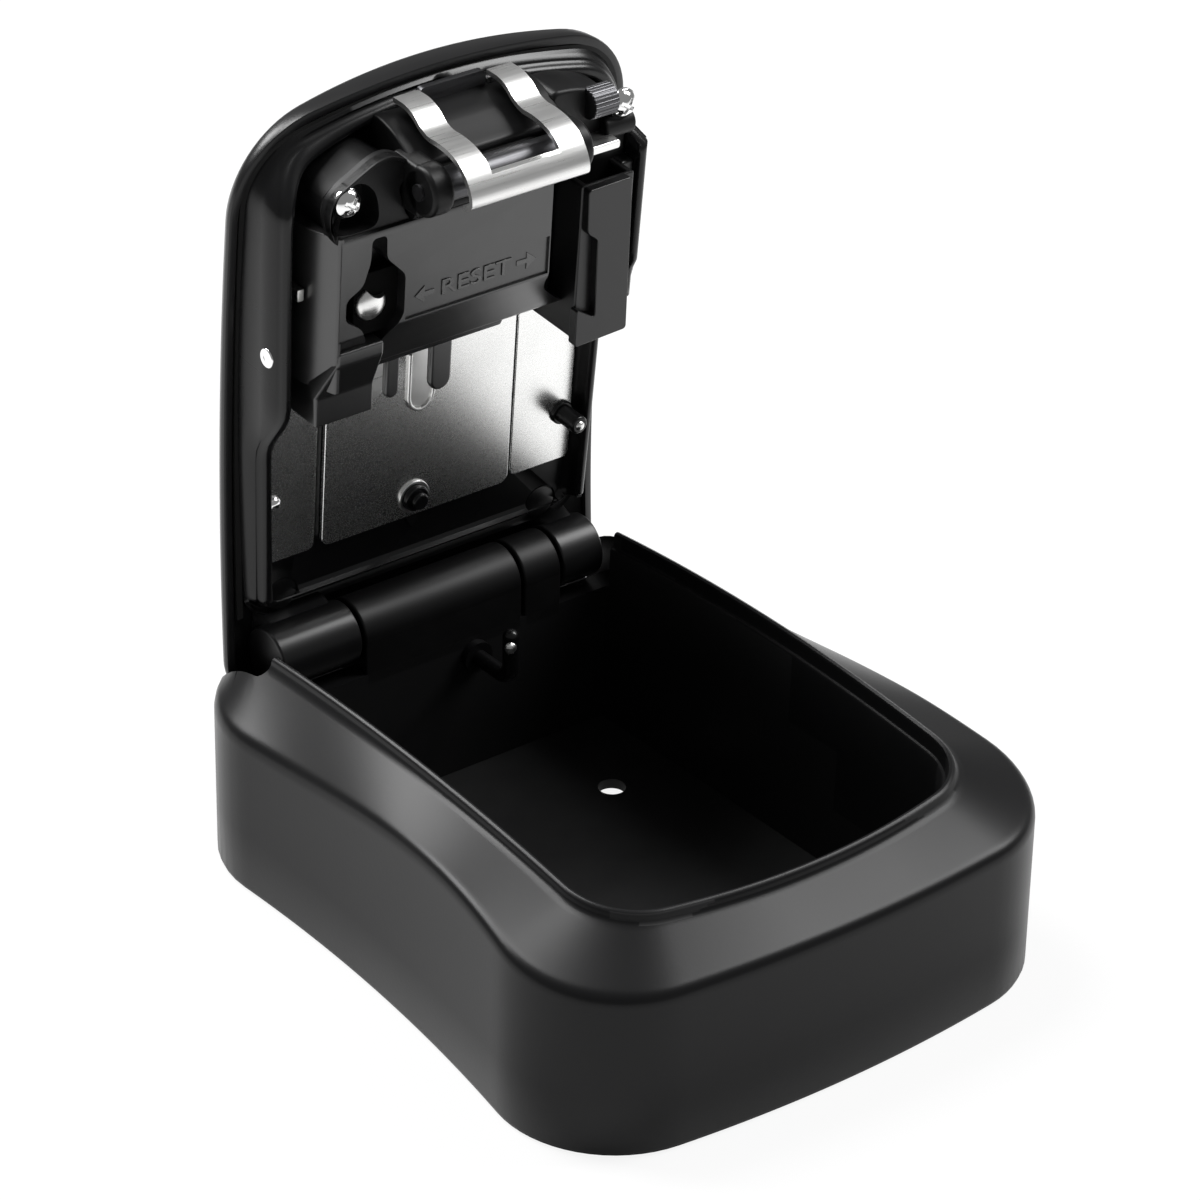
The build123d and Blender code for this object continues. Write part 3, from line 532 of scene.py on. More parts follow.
def new_material(name):
    material = bpy.data.materials.new(name)
    material.use_nodes = True
    tree = material.node_tree
    return material, tree, tree.nodes["Principled BSDF"]


def effect(tree, group, values):
    """A shared group with its settings, laid on by the object's own coordinates."""
    node = tree.nodes.new("ShaderNodeGroup")
    node.node_tree = group
    for label, value in values.items():
        node.inputs[label].default_value = value
    place = tree.nodes.new("ShaderNodeTexCoord")
    tree.links.new(place.outputs["Object"], node.inputs["Vector"])
    return node


def textured(tree, shader, texture, strength, depth):
    """Give a surface the roughness of a texture and its height, which is in millimetres."""
    bump = tree.nodes.new("ShaderNodeBump")
    bump.inputs["Strength"].default_value = strength
    bump.inputs["Distance"].default_value = depth * MM
    tree.links.new(texture.outputs["Roughness"], shader.inputs["Roughness"])
    tree.links.new(texture.outputs["Height"], bump.inputs["Height"])
    tree.links.new(bump.outputs["Normal"], shader.inputs["Normal"])


def black_coat(name, colour, worn, roughness, wear=0.2, change=0.04, scale=1100, depth=0.01, gloss=0.3):
    """Black paint or plastic with a fine grain and faint rubbed edges."""
    material, tree, shader = new_material(name)
    shader.inputs["Specular IOR Level"].default_value = gloss
    edges = effect(tree, edge_group, {"Colour": (*colour, 1), "Worn colour": (*worn, 1), "Amount": wear})
    tree.links.new(edges.outputs["Colour"], shader.inputs["Base Color"])
    grain = effect(tree, grain_group, {"Scale": scale, "Roughness": roughness, "Change": change})
    textured(tree, shader, grain, 0.35, depth)
    return material


def bare_metal(name, colour, roughness, stretch, depth, change=0.28):
    """Bare metal with fine lines and faint smudges."""
    material, tree, shader = new_material(name)
    shader.inputs["Metallic"].default_value = 1.0
    brush = effect(tree, brush_group, {
        "Stretch": stretch, "Roughness": roughness, "Low": 1 - change, "High": 1 + change,
    })
    tint = tree.nodes.new("ShaderNodeMix")
    tint.data_type = "RGBA"
    tint.blend_type = "MULTIPLY"
    tint.inputs["Factor"].default_value = 1.0
    tint.inputs["A"].default_value = (*colour, 1)
    tree.links.new(brush.outputs["Shade"], tint.inputs["B"])
    tree.links.new(tint.outputs["Result"], shader.inputs["Base Color"])
    textured(tree, shader, brush, 0.25, depth)
    return material


def grey(value):
    return value, value, value


PAINT_BLACK, PAINT_WORN = (0.005, 0.005, 0.0053), (0.02, 0.02, 0.021)
case_paint = black_coat(
    "case_paint", PAINT_BLACK, PAINT_WORN, roughness=0.32, change=0.03, scale=1500, depth=0.02, gloss=0.155,
)
lid_paint = black_coat(
    "lid_paint", PAINT_BLACK, PAINT_WORN, roughness=0.32, change=0.03, scale=1500, depth=0.015,
)
well_paint = black_coat(
    "well_paint", (0.004, 0.004, 0.0043), grey(0.015), roughness=0.5, scale=1200, depth=0.02,
)
gloss_plastic = black_coat("gloss_plastic", (0.003, 0.003, 0.0033), grey(0.015), roughness=0.26, scale=900)
satin_plastic = black_coat(
    "satin_plastic", PAINT_BLACK, grey(0.03), roughness=0.30, wear=0.25, depth=0.012, gloss=0.9,
)
guard_plastic = black_coat(
    "guard_plastic", (0.004, 0.004, 0.0043), grey(0.02), roughness=0.34, wear=0.25, depth=0.012, gloss=0.45,
)
ramp_plastic = black_coat("ramp_plastic", (0.003, 0.003, 0.0032), grey(0.015), roughness=0.42, gloss=0.2)
slot_black = black_coat("slot_black", grey(0.002), grey(0.01), roughness=0.7, wear=0.1, gloss=0.05)
relief_plastic = black_coat(
    "relief_plastic", grey(0.010), grey(0.04), roughness=0.26, wear=0.3, change=0.03, gloss=1.0,
)
seal_rubber = black_coat(
    "seal_rubber", grey(0.005), grey(0.02), roughness=0.7, wear=0.1, change=0.05, scale=1600, depth=0.03,
)
number_ink = black_coat(
    "number_ink", grey(0.01), grey(0.03), roughness=0.45, wear=0.1, change=0.05, scale=1600, gloss=0.4,
)
polished_steel = bare_metal(
    "polished_steel", (0.82, 0.82, 0.81), roughness=0.30, stretch=(60, 2600, 2600), depth=0.0008, change=0.12,
)
plate_steel = bare_metal(
    "plate_steel", (0.92, 0.92, 0.91), roughness=0.27, stretch=(5200, 5200, 5200), depth=0.0006, change=0.10,
)
screw_chrome = bare_metal("screw_chrome", grey(0.86), roughness=0.09, stretch=(300, 300, 300), depth=0.01)
zinc_steel = bare_metal(
    "zinc_steel", (0.62, 0.62, 0.60), roughness=0.32, stretch=(700, 700, 700), depth=0.006,
)
dark_steel = bare_metal(
    "dark_steel", (0.10, 0.10, 0.105), roughness=0.38, stretch=(60, 2500, 2500), depth=0.003,
)
dial_steel = bare_metal(
    "dial_steel", (0.66, 0.66, 0.65), roughness=0.30, stretch=(60, 1600, 1600), depth=0.002, change=0.15,
)


def dress(obj, material, body, stands_for=()):
    """Give a piece its finish and say what it rides on and stands for."""
    obj.data.materials.clear()
    obj.data.materials.append(material)
    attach(obj, body)
    if stands_for:
        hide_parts(*stands_for)
    return obj


def paint_node(name, material):
    """Give a carried CAD piece its finish."""
    mesh = nodes[name].data
    mesh.materials.clear()
    mesh.materials.append(material)


def on_lid(obj, material, stands_for=()):
    """Dress a piece that was made on the shut lid, and swing it open."""
    return dress(swing_open(obj), material, "lid", stands_for)


# the case
CASE_WALL = 3.2
WELL_INSET = 2.2
WELL_FLOOR = 2.1
SLOPE_TOP = 39.2
SLOPE_LOW, SLOPE_RISE, SLOPE_PEAK = 31.4, 5.0, -22.0
SLOPE_BACK, SLOPE_FRONT = 60.0, 46.0
SWING_ROOM = 13.75
KNUCKLE_GAP = 0.6
CASE_KNUCKLES = ((-17.9, 16.7), (17.4, 25.6))
LID_KNUCKLES = ((-35.4, -18.6), (26.3, 35.4))
# The rim's skin from the slope over the rim and its ledge: how far in, and how far below the crown.
RIM_PROFILE = (
    (-0.15, 1.35), (0.0, 1.05), (0.05, 0.6), (0.3, 0.18), (0.75, 0.0), (1.2, 0.18), (1.4, 0.6), (1.45, 2.7),
    (1.6, 3.0), (2.0, 3.1), (WELL_INSET, 3.4),
)


def slope_level(drop):
    """The lower edge of the slope, which rises towards its middle, less a drop."""

    def level(y):
        away = (y - SLOPE_PEAK) / (SLOPE_BACK if y > SLOPE_PEAK else SLOPE_FRONT)
        away = max(-1.0, min(1.0, away))
        return SLOPE_LOW + SLOPE_RISE * (0.5 + 0.5 * math.cos(math.pi * away)) - drop

    return level


def rim_level(drop):
    return lambda y: SLOPE_TOP + crown(y) - drop


def hinge_room():
    """Cutters that leave room for the swing of the lid and for its knuckles."""
    swing = rod("swing", (0, HINGE_Y, HINGE_Z), SWING_ROOM, 82.0, "X", 96)
    cut(swing, [box("front", (-60, -60, -60), (60, HINGE_Y - 1.5, 100))])
    clear = BARREL + KNUCKLE_GAP
    above = box("above", (-41, HINGE_Y - clear, HINGE_Z - clear), (41, 90, 80))
    select_edges(above, lambda a, b: abs(a.y - b.y) < 0.1 and abs(a.x - b.x) < 0.1 and a.y < 60)
    bpy.ops.mesh.bevel(offset=2.0 * MM, segments=4, affect="EDGES")
    return [swing, leave(above)]


def case_body():
    """The cast case: one skin from the foot over the slope and the rim down into the well."""
    outside = case_outline()
    corner, low = at(outside, slope_level(0.0)), at(outside, slope_level(1.9))
    foot_of_rim = at(rim_outline(), rim_level(1.5))
    high = between(corner, foot_of_rim, 0.14)
    loops = [at(case_outline(1.2), 0), at(case_outline(0.35), 0.3)]
    loops += [at(outside, height) for height in (1.2, 12, 22, slope_level(4.0), slope_level(2.3))]
    loops.append(low)
    for step in range(1, 8):
        t = step / 8
        loops.append(between(between(low, corner, t), between(corner, high, t), t))
    loops.append(high)
    loops += [between(corner, foot_of_rim, share) for share in (0.18, 0.3, 0.6, 0.87, 0.95)]
    loops += [at(rim_outline(inset), rim_level(drop)) for inset, drop in RIM_PROFILE]
    for slant, height in ((0.2, 26), (0.5, 14), (0.8, WELL_FLOOR)):
        loops.append(at(rim_outline(WELL_INSET + slant), height))
    loops += [at(case_outline(CASE_WALL), height) for height in (WELL_FLOOR, 0)]
    loops.append(loops[0])
    body = outwards(rings("case_body", loops, closed=False))
    hinge_wall = box("hinge_wall", (-39.3, HINGE_Y - BARREL, WELL_FLOOR), (39.3, 60.0, HINGE_Z - 4))
    cut(body, [hinge_wall], "UNION")
    cut(body, hinge_room())
    return smooth(outwards(body), CAST_CRISP)


def paint_well(piece):
    """Give the faces inside the well their own duller paint."""
    piece.data.materials.append(well_paint)
    for polygon in piece.data.polygons:
        where, tilt = polygon.center / MM, polygon.normal.z
        inside = abs(where.x) < 37.6 and -56.5 < where.y < 46.2 and where.z < 39.5
        if inside and abs(tilt) < 0.75 and (tilt > 0.6 or where.z > 2.0):
            polygon.material_index = 1


def hinge_barrel(name, left, right):
    """A round knuckle with softly rounded ends."""
    barrel = rod(name, ((left + right) / 2, HINGE_Y, HINGE_Z), BARREL, right - left, "X", 72)
    select_faces(barrel, lambda face: abs(face.normal.x) > 0.9)
    bpy.ops.mesh.inset(thickness=0.5 * MM)
    return rounded(leave(barrel), 0.45)


def case_knuckles():
    """The two knuckles of the case with the webs that carry them."""
    pieces = []
    for left, right in CASE_KNUCKLES:
        pieces.append(hinge_barrel("knuckle", left, right))
        web = box("web", (left, HINGE_Y - BARREL, HINGE_Z - BARREL - 3), (right, HINGE_Y + 2.6, HINGE_Z))
        pieces.append(rounded(web, 0.4, 2))
    return smooth(join("case_knuckles", pieces))


paint_well(dress(case_body(), case_paint, "case", ["case_shell"]))
dress(case_knuckles(), ramp_plastic, "case")
paint_node("back_plate", well_paint)
paint_node("back_plate_screws", zinc_steel)
paint_node("hinge_pin", dark_steel)
paint_node("strike_plate", zinc_steel)


# the lid
LID_SKIRT = 39.6
DOME_TOP, DOME_DROP, DOME_HALF = 49.4, 3.0, 40.4
SPINE_FRONT, SPINE_BACK = -30.0, 38.0
DIAL_REACH, DIAL_LEVEL, DIAL_RADIUS = 72.35, 6.0, 9.6
WINDOW_WIDTH, WINDOW_HALF = 14.6, 10.3


def dome(x, y):
    return DOME_TOP - DOME_DROP * (x / DOME_HALF) ** 2 - (CROWN_RISE - crown(y))


def on_dome(points, drop=0.0):
    return [(x, y, dome(x, y) - drop) for x, y in points]


def toward_spine(points, share):
    """An outline drawn in towards a line down the middle."""
    return [(x * (1 - share), y + (max(SPINE_FRONT, min(SPINE_BACK, y)) - y) * share) for x, y in points]


def skirt_level(rise):
    return lambda y: LID_SKIRT + crown(y) + rise


def lid_skin():
    """The domed lid: a rounded outer edge, a thin wall and the hollow behind it."""
    shares = (0.985, 0.8, 0.6, 0.4, 0.2, 0.06)
    inner, outer = lid_outline(1.9), lid_outline(3.2)
    loops = [on_dome(toward_spine(inner, share), 2.2) for share in shares]
    loops += [on_dome(inner, 2.6), at(inner, skirt_level(0.35))]
    for inset, rise in ((1.6, 0.0), (0.5, 0.0), (0.12, 0.25), (0.0, 0.8)):
        loops.append(at(lid_outline(inset), skirt_level(rise)))
    for inset, drop in ((0.12, 1.75), (0.5, 1.0), (1.1, 0.5), (2.0, 0.16), (3.2, 0.0)):
        loops.append(on_dome(lid_outline(inset), drop))
    loops += [on_dome(toward_spine(outer, share)) for share in shares[::-1]]
    return outwards(rings("lid_skin", loops))


def lid_body():
    """The lid with its dial window, the slot for the release and its knuckles on their tabs."""
    near, out = DIAL_REACH - WINDOW_HALF, DIAL_REACH + WINDOW_HALF
    window = lid_box("window", -WINDOW_WIDTH, WINDOW_WIDTH, near, out, 0, 30)
    slot = lid_box("slot", -3.5, 3.5, DIAL_REACH + 18.5, DIAL_REACH + 25.2, 0, 30)
    pieces = [smooth(cut(lid_skin(), [window, slot]), CAST_CRISP)]
    for left, right in LID_KNUCKLES:
        pieces.append(hinge_barrel("lid_knuckle", left, right))
        tab = lid_box("tab", left + 0.9, right - 0.9, -4.5, 6.6, -0.6, 6.8)
        select_faces(tab, lambda face: face.normal.z < -0.9)
        bpy.ops.transform.resize(value=(0.9, 0.72, 1))
        pieces.append(rounded(leave(tab), 1.2, 4))
    return join("lid_body", pieces)


on_lid(lid_body(), lid_paint, ["lid_shell"])


# the liner
LINER_TOP, LINER_FACE = 7.2, 4.0
MARK_REACH = 9.6


def eased(value):
    value = max(0.0, min(1.0, value))
    return value * value * (3 - 2 * value)


def step_level(x, y):
    """Height of the top of the liner wall: none by the hinge, low beside the plates, high beside the lock."""
    reach = HINGE_Y - y
    start = 1 - eased((reach - 9.3) / 1.6)
    if x < 0:
        rise = eased((reach - 41.0) / 13.0) * (1 - eased((reach - 91.0) / 11.0))
        return HINGE_Z + 1.2 + 2.78 * start - 6.0 * rise
    step = eased((reach - 54.5) / 1.6) + 0.17 * eased((reach - 61.6) / 1.2)
    return HINGE_Z + 0.2 + 3.78 * start - 7.3 * (step * (1 - eased((reach - 87.6) / 1.8)))


def flare_level(level):
    return lambda y: HINGE_Z + level + crown(y)


def liner_body():
    """The tray inside the lid, one skin over its stepped wall."""
    wide, narrow = liner_outline(-1.2), liner_outline(-0.2)
    loops = [at(wide, HINGE_Z + LINER_TOP), at(wide, flare_level(3.4))]
    loops.append(at(liner_outline(-0.7), flare_level(2.6)))
    loops.append([(x, y, max(HINGE_Z + 1.4, step_level(x, y) + 1.8)) for x, y in narrow])
    for inset, drop in (
        (0.0, 1.7), (0.25, 1.6), (0.5, 0.8), (0.85, 0.25), (1.3, 0.0), (1.9, 0.0), (2.3, 0.25), (2.5, 0.8),
    ):
        loops.append([(x, y, step_level(x, y) + drop) for x, y in liner_outline(inset)])
    face = HINGE_Z + LINER_FACE
    for inset, drop in ((2.6, 1.3), (2.9, 0.4), (3.6, 0.0)):
        loops.append(at(liner_outline(inset), face - drop))
    body = outwards(rings("liner_body", loops))
    near, out = DIAL_REACH - WINDOW_HALF, DIAL_REACH + WINDOW_HALF
    window = lid_box("window", -16.2, 16.2, near, out, 2, 9)
    gate = lid_box("gate", -7.5, 7.5, 91, 120, -0.4, 2.0)
    slot = lid_box("slot", -3.5, 3.5, 90.8, 97.6, 1, 9)
    cut(body, [window, gate, slot])
    for across in (-29.6, 27.6):
        cut(body, [lid_rod("mark", across, MARK_REACH, 3.0, 4.3, 3.4)])
        disc = lid_rod("disc", across, MARK_REACH, 4.02, 5.0, 3.1)
        cut(body, [rounded(disc, 0.15, 2)], "UNION")
    return smooth(body, CAST_CRISP)


on_lid(liner_body(), gloss_plastic, ["lid_liner"])
paint_node("lid_seal", seal_rubber)
paint_node("dial_shaft", zinc_steel)
paint_node("dial_frame", zinc_steel)
paint_node("detent_springs", polished_steel)


# small pieces of the lock side
BOX_FACE = -10.9
SEAT = 3.4
DEEP = -12
FINGERS = ((-14.0, -11.1, 48.6), (-4.4, 0.1, 47.0))
EAR_MIDDLE = -20.4
SHAFT_REACH, SHAFT_LEVEL = 95.95, -14.4
SCREW_PLACES = ((-28.3, 95.0, -10.3), (30.4, 96.9, -9.0))
SCREW_RADIUS, SCREW_TURN = 2.75, math.radians(31)
RESET_MIDDLE, RESET_REACH = -1.2, 73.0


def corner_ends(before, corner, after, radius):
    """Where a round corner leaves its two sides."""
    ends = []
    for other in (before, after):
        length = math.dist(corner, other)
        share = min(radius, length * 0.48) / length
        ends.append(tuple(a + (b - a) * share for a, b in zip(corner, other)))
    return ends


def soft(corners, radius, steps=5):
    """Round the corners of a closed outline."""
    points = []
    for number, corner in enumerate(corners):
        start, finish = corner_ends(corners[number - 1], corner, corners[(number + 1) % len(corners)], radius)
        points += bend(start, corner, finish, steps)
        points.append(finish)
    return points


def ribbon_outline(path, thickness, radius):
    """The outline of a bent strip of even thickness."""
    line = [path[0]]
    for before, corner, after in zip(path, path[1:], path[2:]):
        start, finish = corner_ends(before, corner, after, radius)
        line += bend(start, corner, finish, 8)
        line.append(finish)
    line.append(path[-1])
    left, right = [], []
    for number, point in enumerate(line):
        before, after = line[max(0, number - 1)], line[min(len(line) - 1, number + 1)]
        length = math.dist(before, after) or 1.0
        side = (-(after[1] - before[1]) / length, (after[0] - before[0]) / length)
        left.append(tuple(p + s * thickness / 2 for p, s in zip(point, side)))
        right.append(tuple(p - s * thickness / 2 for p, s in zip(point, side)))
    return left + right[::-1]


def lettering(name, words, size, thick, matrix):
    """Raised words as a mesh, placed by a matrix in metres."""
    deselect()
    bpy.ops.object.text_add()
    obj = bpy.context.object
    obj.name = name
    obj.data.body = words
    obj.data.size = size * MM
    obj.data.extrude = thick * MM / 2
    obj.data.bevel_depth = 0.04 * MM
    obj.data.bevel_resolution = 1
    obj.data.resolution_u = 4
    obj.data.align_x = "CENTER"
    obj.data.align_y = "CENTER"
    bpy.ops.object.convert(target="MESH")
    obj = bpy.context.object
    obj.data.transform(matrix)
    return outwards(obj)


def inner_words(across, reach, level):
    """Place words on the inside of the lid, upright when it is open."""
    spot = Vector((across, HINGE_Y - reach, HINGE_Z + level)) * MM
    return Matrix.Translation(spot) @ Matrix.Rotation(math.pi, 4, "X")


def side_wall():
    """The left side of the box, which leans in towards its face."""
    corners = [(-29.3, -10.75), (-29.95, -10.6), (-30.25, -10.1), (-32.6, -4.0), (-32.6, 1.5), (-29.3, 1.5)]
    points = [(across, HINGE_Y - 58.6, HINGE_Z + level) for across, level in corners]
    return rounded(pulled("side_wall", points, (0, -30.2, 0)), 0.2, 2)


def box_foot():
    """The block at the lower left of the box, with its upper left corner drawn in."""
    foot = across_slab("foot", [
        (51.4, 3.3), (51.4, -8.4), (57.2, -8.4), (64.0, BOX_FACE), (66.5, BOX_FACE), (66.5, 3.3),
    ], -32.3, -20.3)
    for vert in edit(foot, "VERT").verts:
        place = vert.co / MM
        if place.x < -31 and HINGE_Y - place.y > 60:
            vert.co.x += 2.6 * MM
    bmesh.update_edit_mesh(foot.data)
    return rounded(leave(foot), 0.5, 3, 20)


def lock_box():
    """The box over the dials: a flat face, a recessed band and an underside that falls away."""
    body = across_slab("lock_box", [
        (88.5, SEAT), (88.5, -9.8), (88.2, -10.6), (87.4, BOX_FACE), (69.2, BOX_FACE), (68.6, -10.7),
        (59.8, -6.6), (58.7, -5.4), (58.4, -4.0), (58.4, SEAT),
    ], -29.8, 21.2)
    band = lid_box("band", -16.1, 14.2, 69.3, 76.7, DEEP, -10.45)
    beside = soft([(14.3, 95), (14.5, 65.5), (17.6, 62.4), (25, 56.6), (25, 95)], 1.6)
    notch = lid_slab("notch", beside, DEEP, -2.4)
    slot = lid_slab("slot", soft([
        (-23.6, 87.2), (-20.6, 87.2), (-20.4, 82.6), (-16.4, 78.4), (-16.4, 70.6), (-19.8, 66.2),
        (-20.2, 62.2), (-22.9, 62.2), (-23.4, 66.6), (-25.4, 70.4), (-28.6, 72.6), (-28.6, 76.6),
        (-25.2, 78.6), (-23.8, 82.8),
    ], 0.9), DEEP, -5.4)
    cut(body, [band, notch, slot])
    pieces = [rounded(body, 0.45, 3, 30), box_foot(), side_wall()]
    for left, right, low in FINGERS:
        corners = soft([(left, 60), (right, 60), (right, low), (left, low)], (right - left) / 2)
        pieces.append(rounded(lid_slab("finger", corners, -3.4, -1.9), 0.5))
    lip = across_slab("lip", [(58.5, -5.2), (58.5, 1.0), (56.6, 1.0), (56.6, -3.4), (57.3, -4.6)], -20.2, 9.5)
    pieces.append(rounded(lip, 0.3, 2))
    return join("lock_box", pieces)


EAR_OUTLINE = soft([
    (-30.2, 86.6), (-31.6, 90.4), (-32.0, 94.2), (-30.6, 97.0), (-26.8, 99.2), (-21.6, 101.9), (-17.8, 101.2),
    (-13.4, 97.4), (-9.0, 93.0), (-7.6, 89.6), (-8.8, 86.6),
], 2.4)


def smaller_ear(middle, wide, tall):
    """The outline of the arch made smaller about a point on its middle line."""
    return [(EAR_MIDDLE + (across - EAR_MIDDLE) * wide, middle + (reach - middle) * tall)
            for across, reach in EAR_OUTLINE]


def ear_pockets():
    """The cutter for the two pockets in the arch."""
    first = lid_slab("pocket_one", soft([
        (-31.4, 89.4), (-31.8, 94.2), (-29.8, 97.0), (-26.6, 98.6), (-23.2, 96.6), (-21.9, 93.2),
        (-21.7, 89.0), (-26.6, 88.6),
    ], 1.8), DEEP, -5.4)
    second = lid_slab("pocket_two", soft([
        (-16.6, 90.4), (-18.0, 95.4), (-15.6, 97.0), (-11.6, 92.8), (-10.4, 89.4), (-12.6, 87.9),
        (-15.2, 88.2),
    ], 1.4), DEEP, -5.0)
    return join("pockets", [first, second])


def ear_seat():
    """The block that carries the arched plate."""
    seat = lid_slab("ear_seat", smaller_ear(86.6, 0.9, 0.86), -7.6, SEAT)
    cut(seat, [ear_pockets()])
    return rounded(seat, 0.4, 2, 30)


def ear_plate():
    """The arched plate above the box, with its raised border and the pin in its second pocket."""
    plate = lid_slab("ear_plate", EAR_OUTLINE, -9.9, -7.2)
    cut(plate, [ear_pockets()])
    border = lid_slab("border", EAR_OUTLINE, -10.2, -8.0)
    cut(border, [lid_slab("inner", smaller_ear(93.6, 0.93, 0.9), DEEP, -7)])
    cut(border, [ear_pockets()])
    rounded(plate, 0.5, 3, 30)
    rounded(border, 0.25, 2, 30)
    pin = lid_rod("pin", -13.2, 90.4, -8.8, -3, 1.1, 24)
    return join("ear_plate", [plate, border, rounded(pin, 0.35, 2)])


def guard_tower():
    """The tall hollow guard to the right of the box."""
    front = soft([
        (21.9, 83.4), (31.4, 83.6), (32.3, 52.8), (20.9, 52.3), (20.9, 59.9), (25.0, 57.3), (24.5, 73.0),
        (22.2, 74.8),
    ], 0.7, 4)
    body = lid_slab("guard_tower", front, -11.4, -9.4)
    hull = lid_box("hull", 21.6, 33.0, 52.9, 83.6, -9.8, 3.6)
    cut(hull, [lid_box("hollow", 23.0, 31.6, 60, 92, -9.0, 2.0)])
    step = lid_box("step", 32.4, 35.2, 57.4, 83.8, -6.8, 3.6)
    back = lid_box("back", 24, 35.0, 62.4, 89.6, -4.2, 3.6)
    pieces = [rounded(body, 0.35), rounded(hull, 0.45), rounded(step, 0.5), rounded(back, 0.6)]
    return join("guard_tower", pieces)


def cap_body():
    """The ramp under the clip with two drums that hold the shaft."""
    ramp = across_slab("cap_body", soft([
        (88.4, SEAT), (102.9, SEAT), (103.1, -1.0), (102.2, -4.6), (100.2, -8.6), (98.8, -11.6),
        (96.4, -10.4), (92.6, -10.2), (89.6, -12.2), (88.4, BOX_FACE),
    ], 1.2), -15.6, 16.2)
    pieces = [rounded(ramp, 0.5, 3, 40)]
    for left, right in ((-17.0, -12.6), (12.6, 16.6)):
        centre = ((left + right) / 2, HINGE_Y - SHAFT_REACH, HINGE_Z + SHAFT_LEVEL)
        pieces.append(rounded(rod("drum", centre, 4.6, right - left, "X", 56), 0.9, 4))
        pieces.append(rounded(lid_box("web", left, right, 90.6, 100.2, SHAFT_LEVEL, -6), 0.8))
    block = lid_slab("block", soft([
        (15.6, 89.6), (15.6, 102.4), (21, 101.9), (27.4, 99.9), (31.6, 96.4), (33.2, 92.6), (33.0, 89.6),
    ], 1.8), -7.4, SEAT)
    pieces.append(rounded(block, 0.9, 4))
    barrel = rod("barrel", (29.6, HINGE_Y - 92.8, HINGE_Z - 7.4), 2.3, 6.5, "X", 40)
    pieces.append(rounded(barrel, 0.5))
    return join("cap_body", pieces)


def spring_clip():
    """The bent steel strip over the shaft, with its window and folded lip."""
    path = [
        (105.4, 0.3), (105.6, -4.6), (102.4, -8.6), (102.9, -13.4), (102.1, -18.0), (99.9, -21.0),
        (96.4, -22.9), (95.1, -22.0), (94.7, -20.6),
    ]
    strip = across_slab("spring_clip", ribbon_outline(path, 0.9, 3.0), -12.3, 12.3)
    cut(strip, [lid_box("window", -7.15, 7.15, 99.9, 110, -30, 6)])
    return rounded(strip, 0.16, 2, 40)


def pan_screw(across, reach, level, radius):
    """A domed screw head with a cross recess."""
    head = ball("pan_screw", (across, HINGE_Y - reach, HINGE_Z + level + 0.9), radius, (1, 1, 0.78), 40)
    cutters = [lid_box("below", across - 6, across + 6, reach - 6, reach + 6, level + 0.6, level + 8)]
    for wide, tall in ((0.34, 1.55), (1.55, 0.34)):
        left, right, near, out = across - wide, across + wide, reach - tall, reach + tall
        cutters.append(lid_box("arm", left, right, near, out, level - 5, level - 0.35))
    cut(head, cutters)
    turn = Matrix.Translation(Vector((across, HINGE_Y - reach, 0)) * MM)
    head.data.transform(turn @ Matrix.Rotation(SCREW_TURN, 4, "Z") @ turn.inverted())
    rounded(head, 0.1, 2, 40)
    flange = lid_rod("flange", across, reach, level + 0.3, level + 1.3, radius * 1.02, 48)
    return join("pan_screw", [head, rounded(flange, 0.3)])


def link_plate():
    """The end of the steel strip beside the right drum."""
    corners = soft([(16.8, 90.7), (27.6, 90.7), (27.6, 92.3), (16.8, 92.3)], 0.5)
    return rounded(lid_slab("link_plate", corners, -12.0, -4.0), 0.25)


def knurled_sleeve():
    """A ribbed sleeve beside the right screw."""
    sleeve = rod("knurled_sleeve", (25.6, HINGE_Y - 98.4, HINGE_Z - 7.6), 2.7, 5.2, "X", 22)
    select_faces(sleeve, lambda face: abs(face.normal.x) < 0.5)
    bpy.ops.mesh.inset(thickness=0.12 * MM, depth=0.22 * MM, use_individual=True)
    return rounded(leave(sleeve), 0.08, 1)


def reset_words():
    """The word and its two arrows on the band."""
    widened = Matrix.Diagonal((1.16, 0.86, 1, 1))
    word_place = inner_words(RESET_MIDDLE, RESET_REACH, -10.45) @ widened
    words = [lettering("reset_words", "RESET", 4.9, 0.34, word_place)]
    arrow = [(0, 0.5), (2.1, 0.5), (2.1, 1.7), (4.2, 0), (2.1, -1.7), (2.1, -0.5), (0, -0.5)]
    for side in (-1, 1):
        middle = RESET_MIDDLE + side * 10.6
        corners = [(middle + side * (across - 1.9), RESET_REACH + reach) for across, reach in arrow]
        words.append(rounded(lid_slab("reset_arrow", corners, -10.62, -10.3), 0.05, 1))
    return join("reset_words", words)


def reset_knob():
    """A bright dome with a bite at its top, in the reset slot."""
    knob = ball("reset_knob", (-22.2, HINGE_Y - 73.4, HINGE_Z - 8.8), 3.1, (1.0, 1.0, 0.5), 48)
    cut(knob, [rod("bite", (-20.4, HINGE_Y - 77.8, HINGE_Z - 8.8), 3.2, 12, "Z", 64)])
    return rounded(knob, 0.25, 3, 50)


def reset_slide():
    """The thin plate behind the slot that carries the knob."""
    return rounded(lid_box("reset_slide", -25.5, -16.3, 67.35, 79.35, -8.7, -7.5), 0.25, 2)


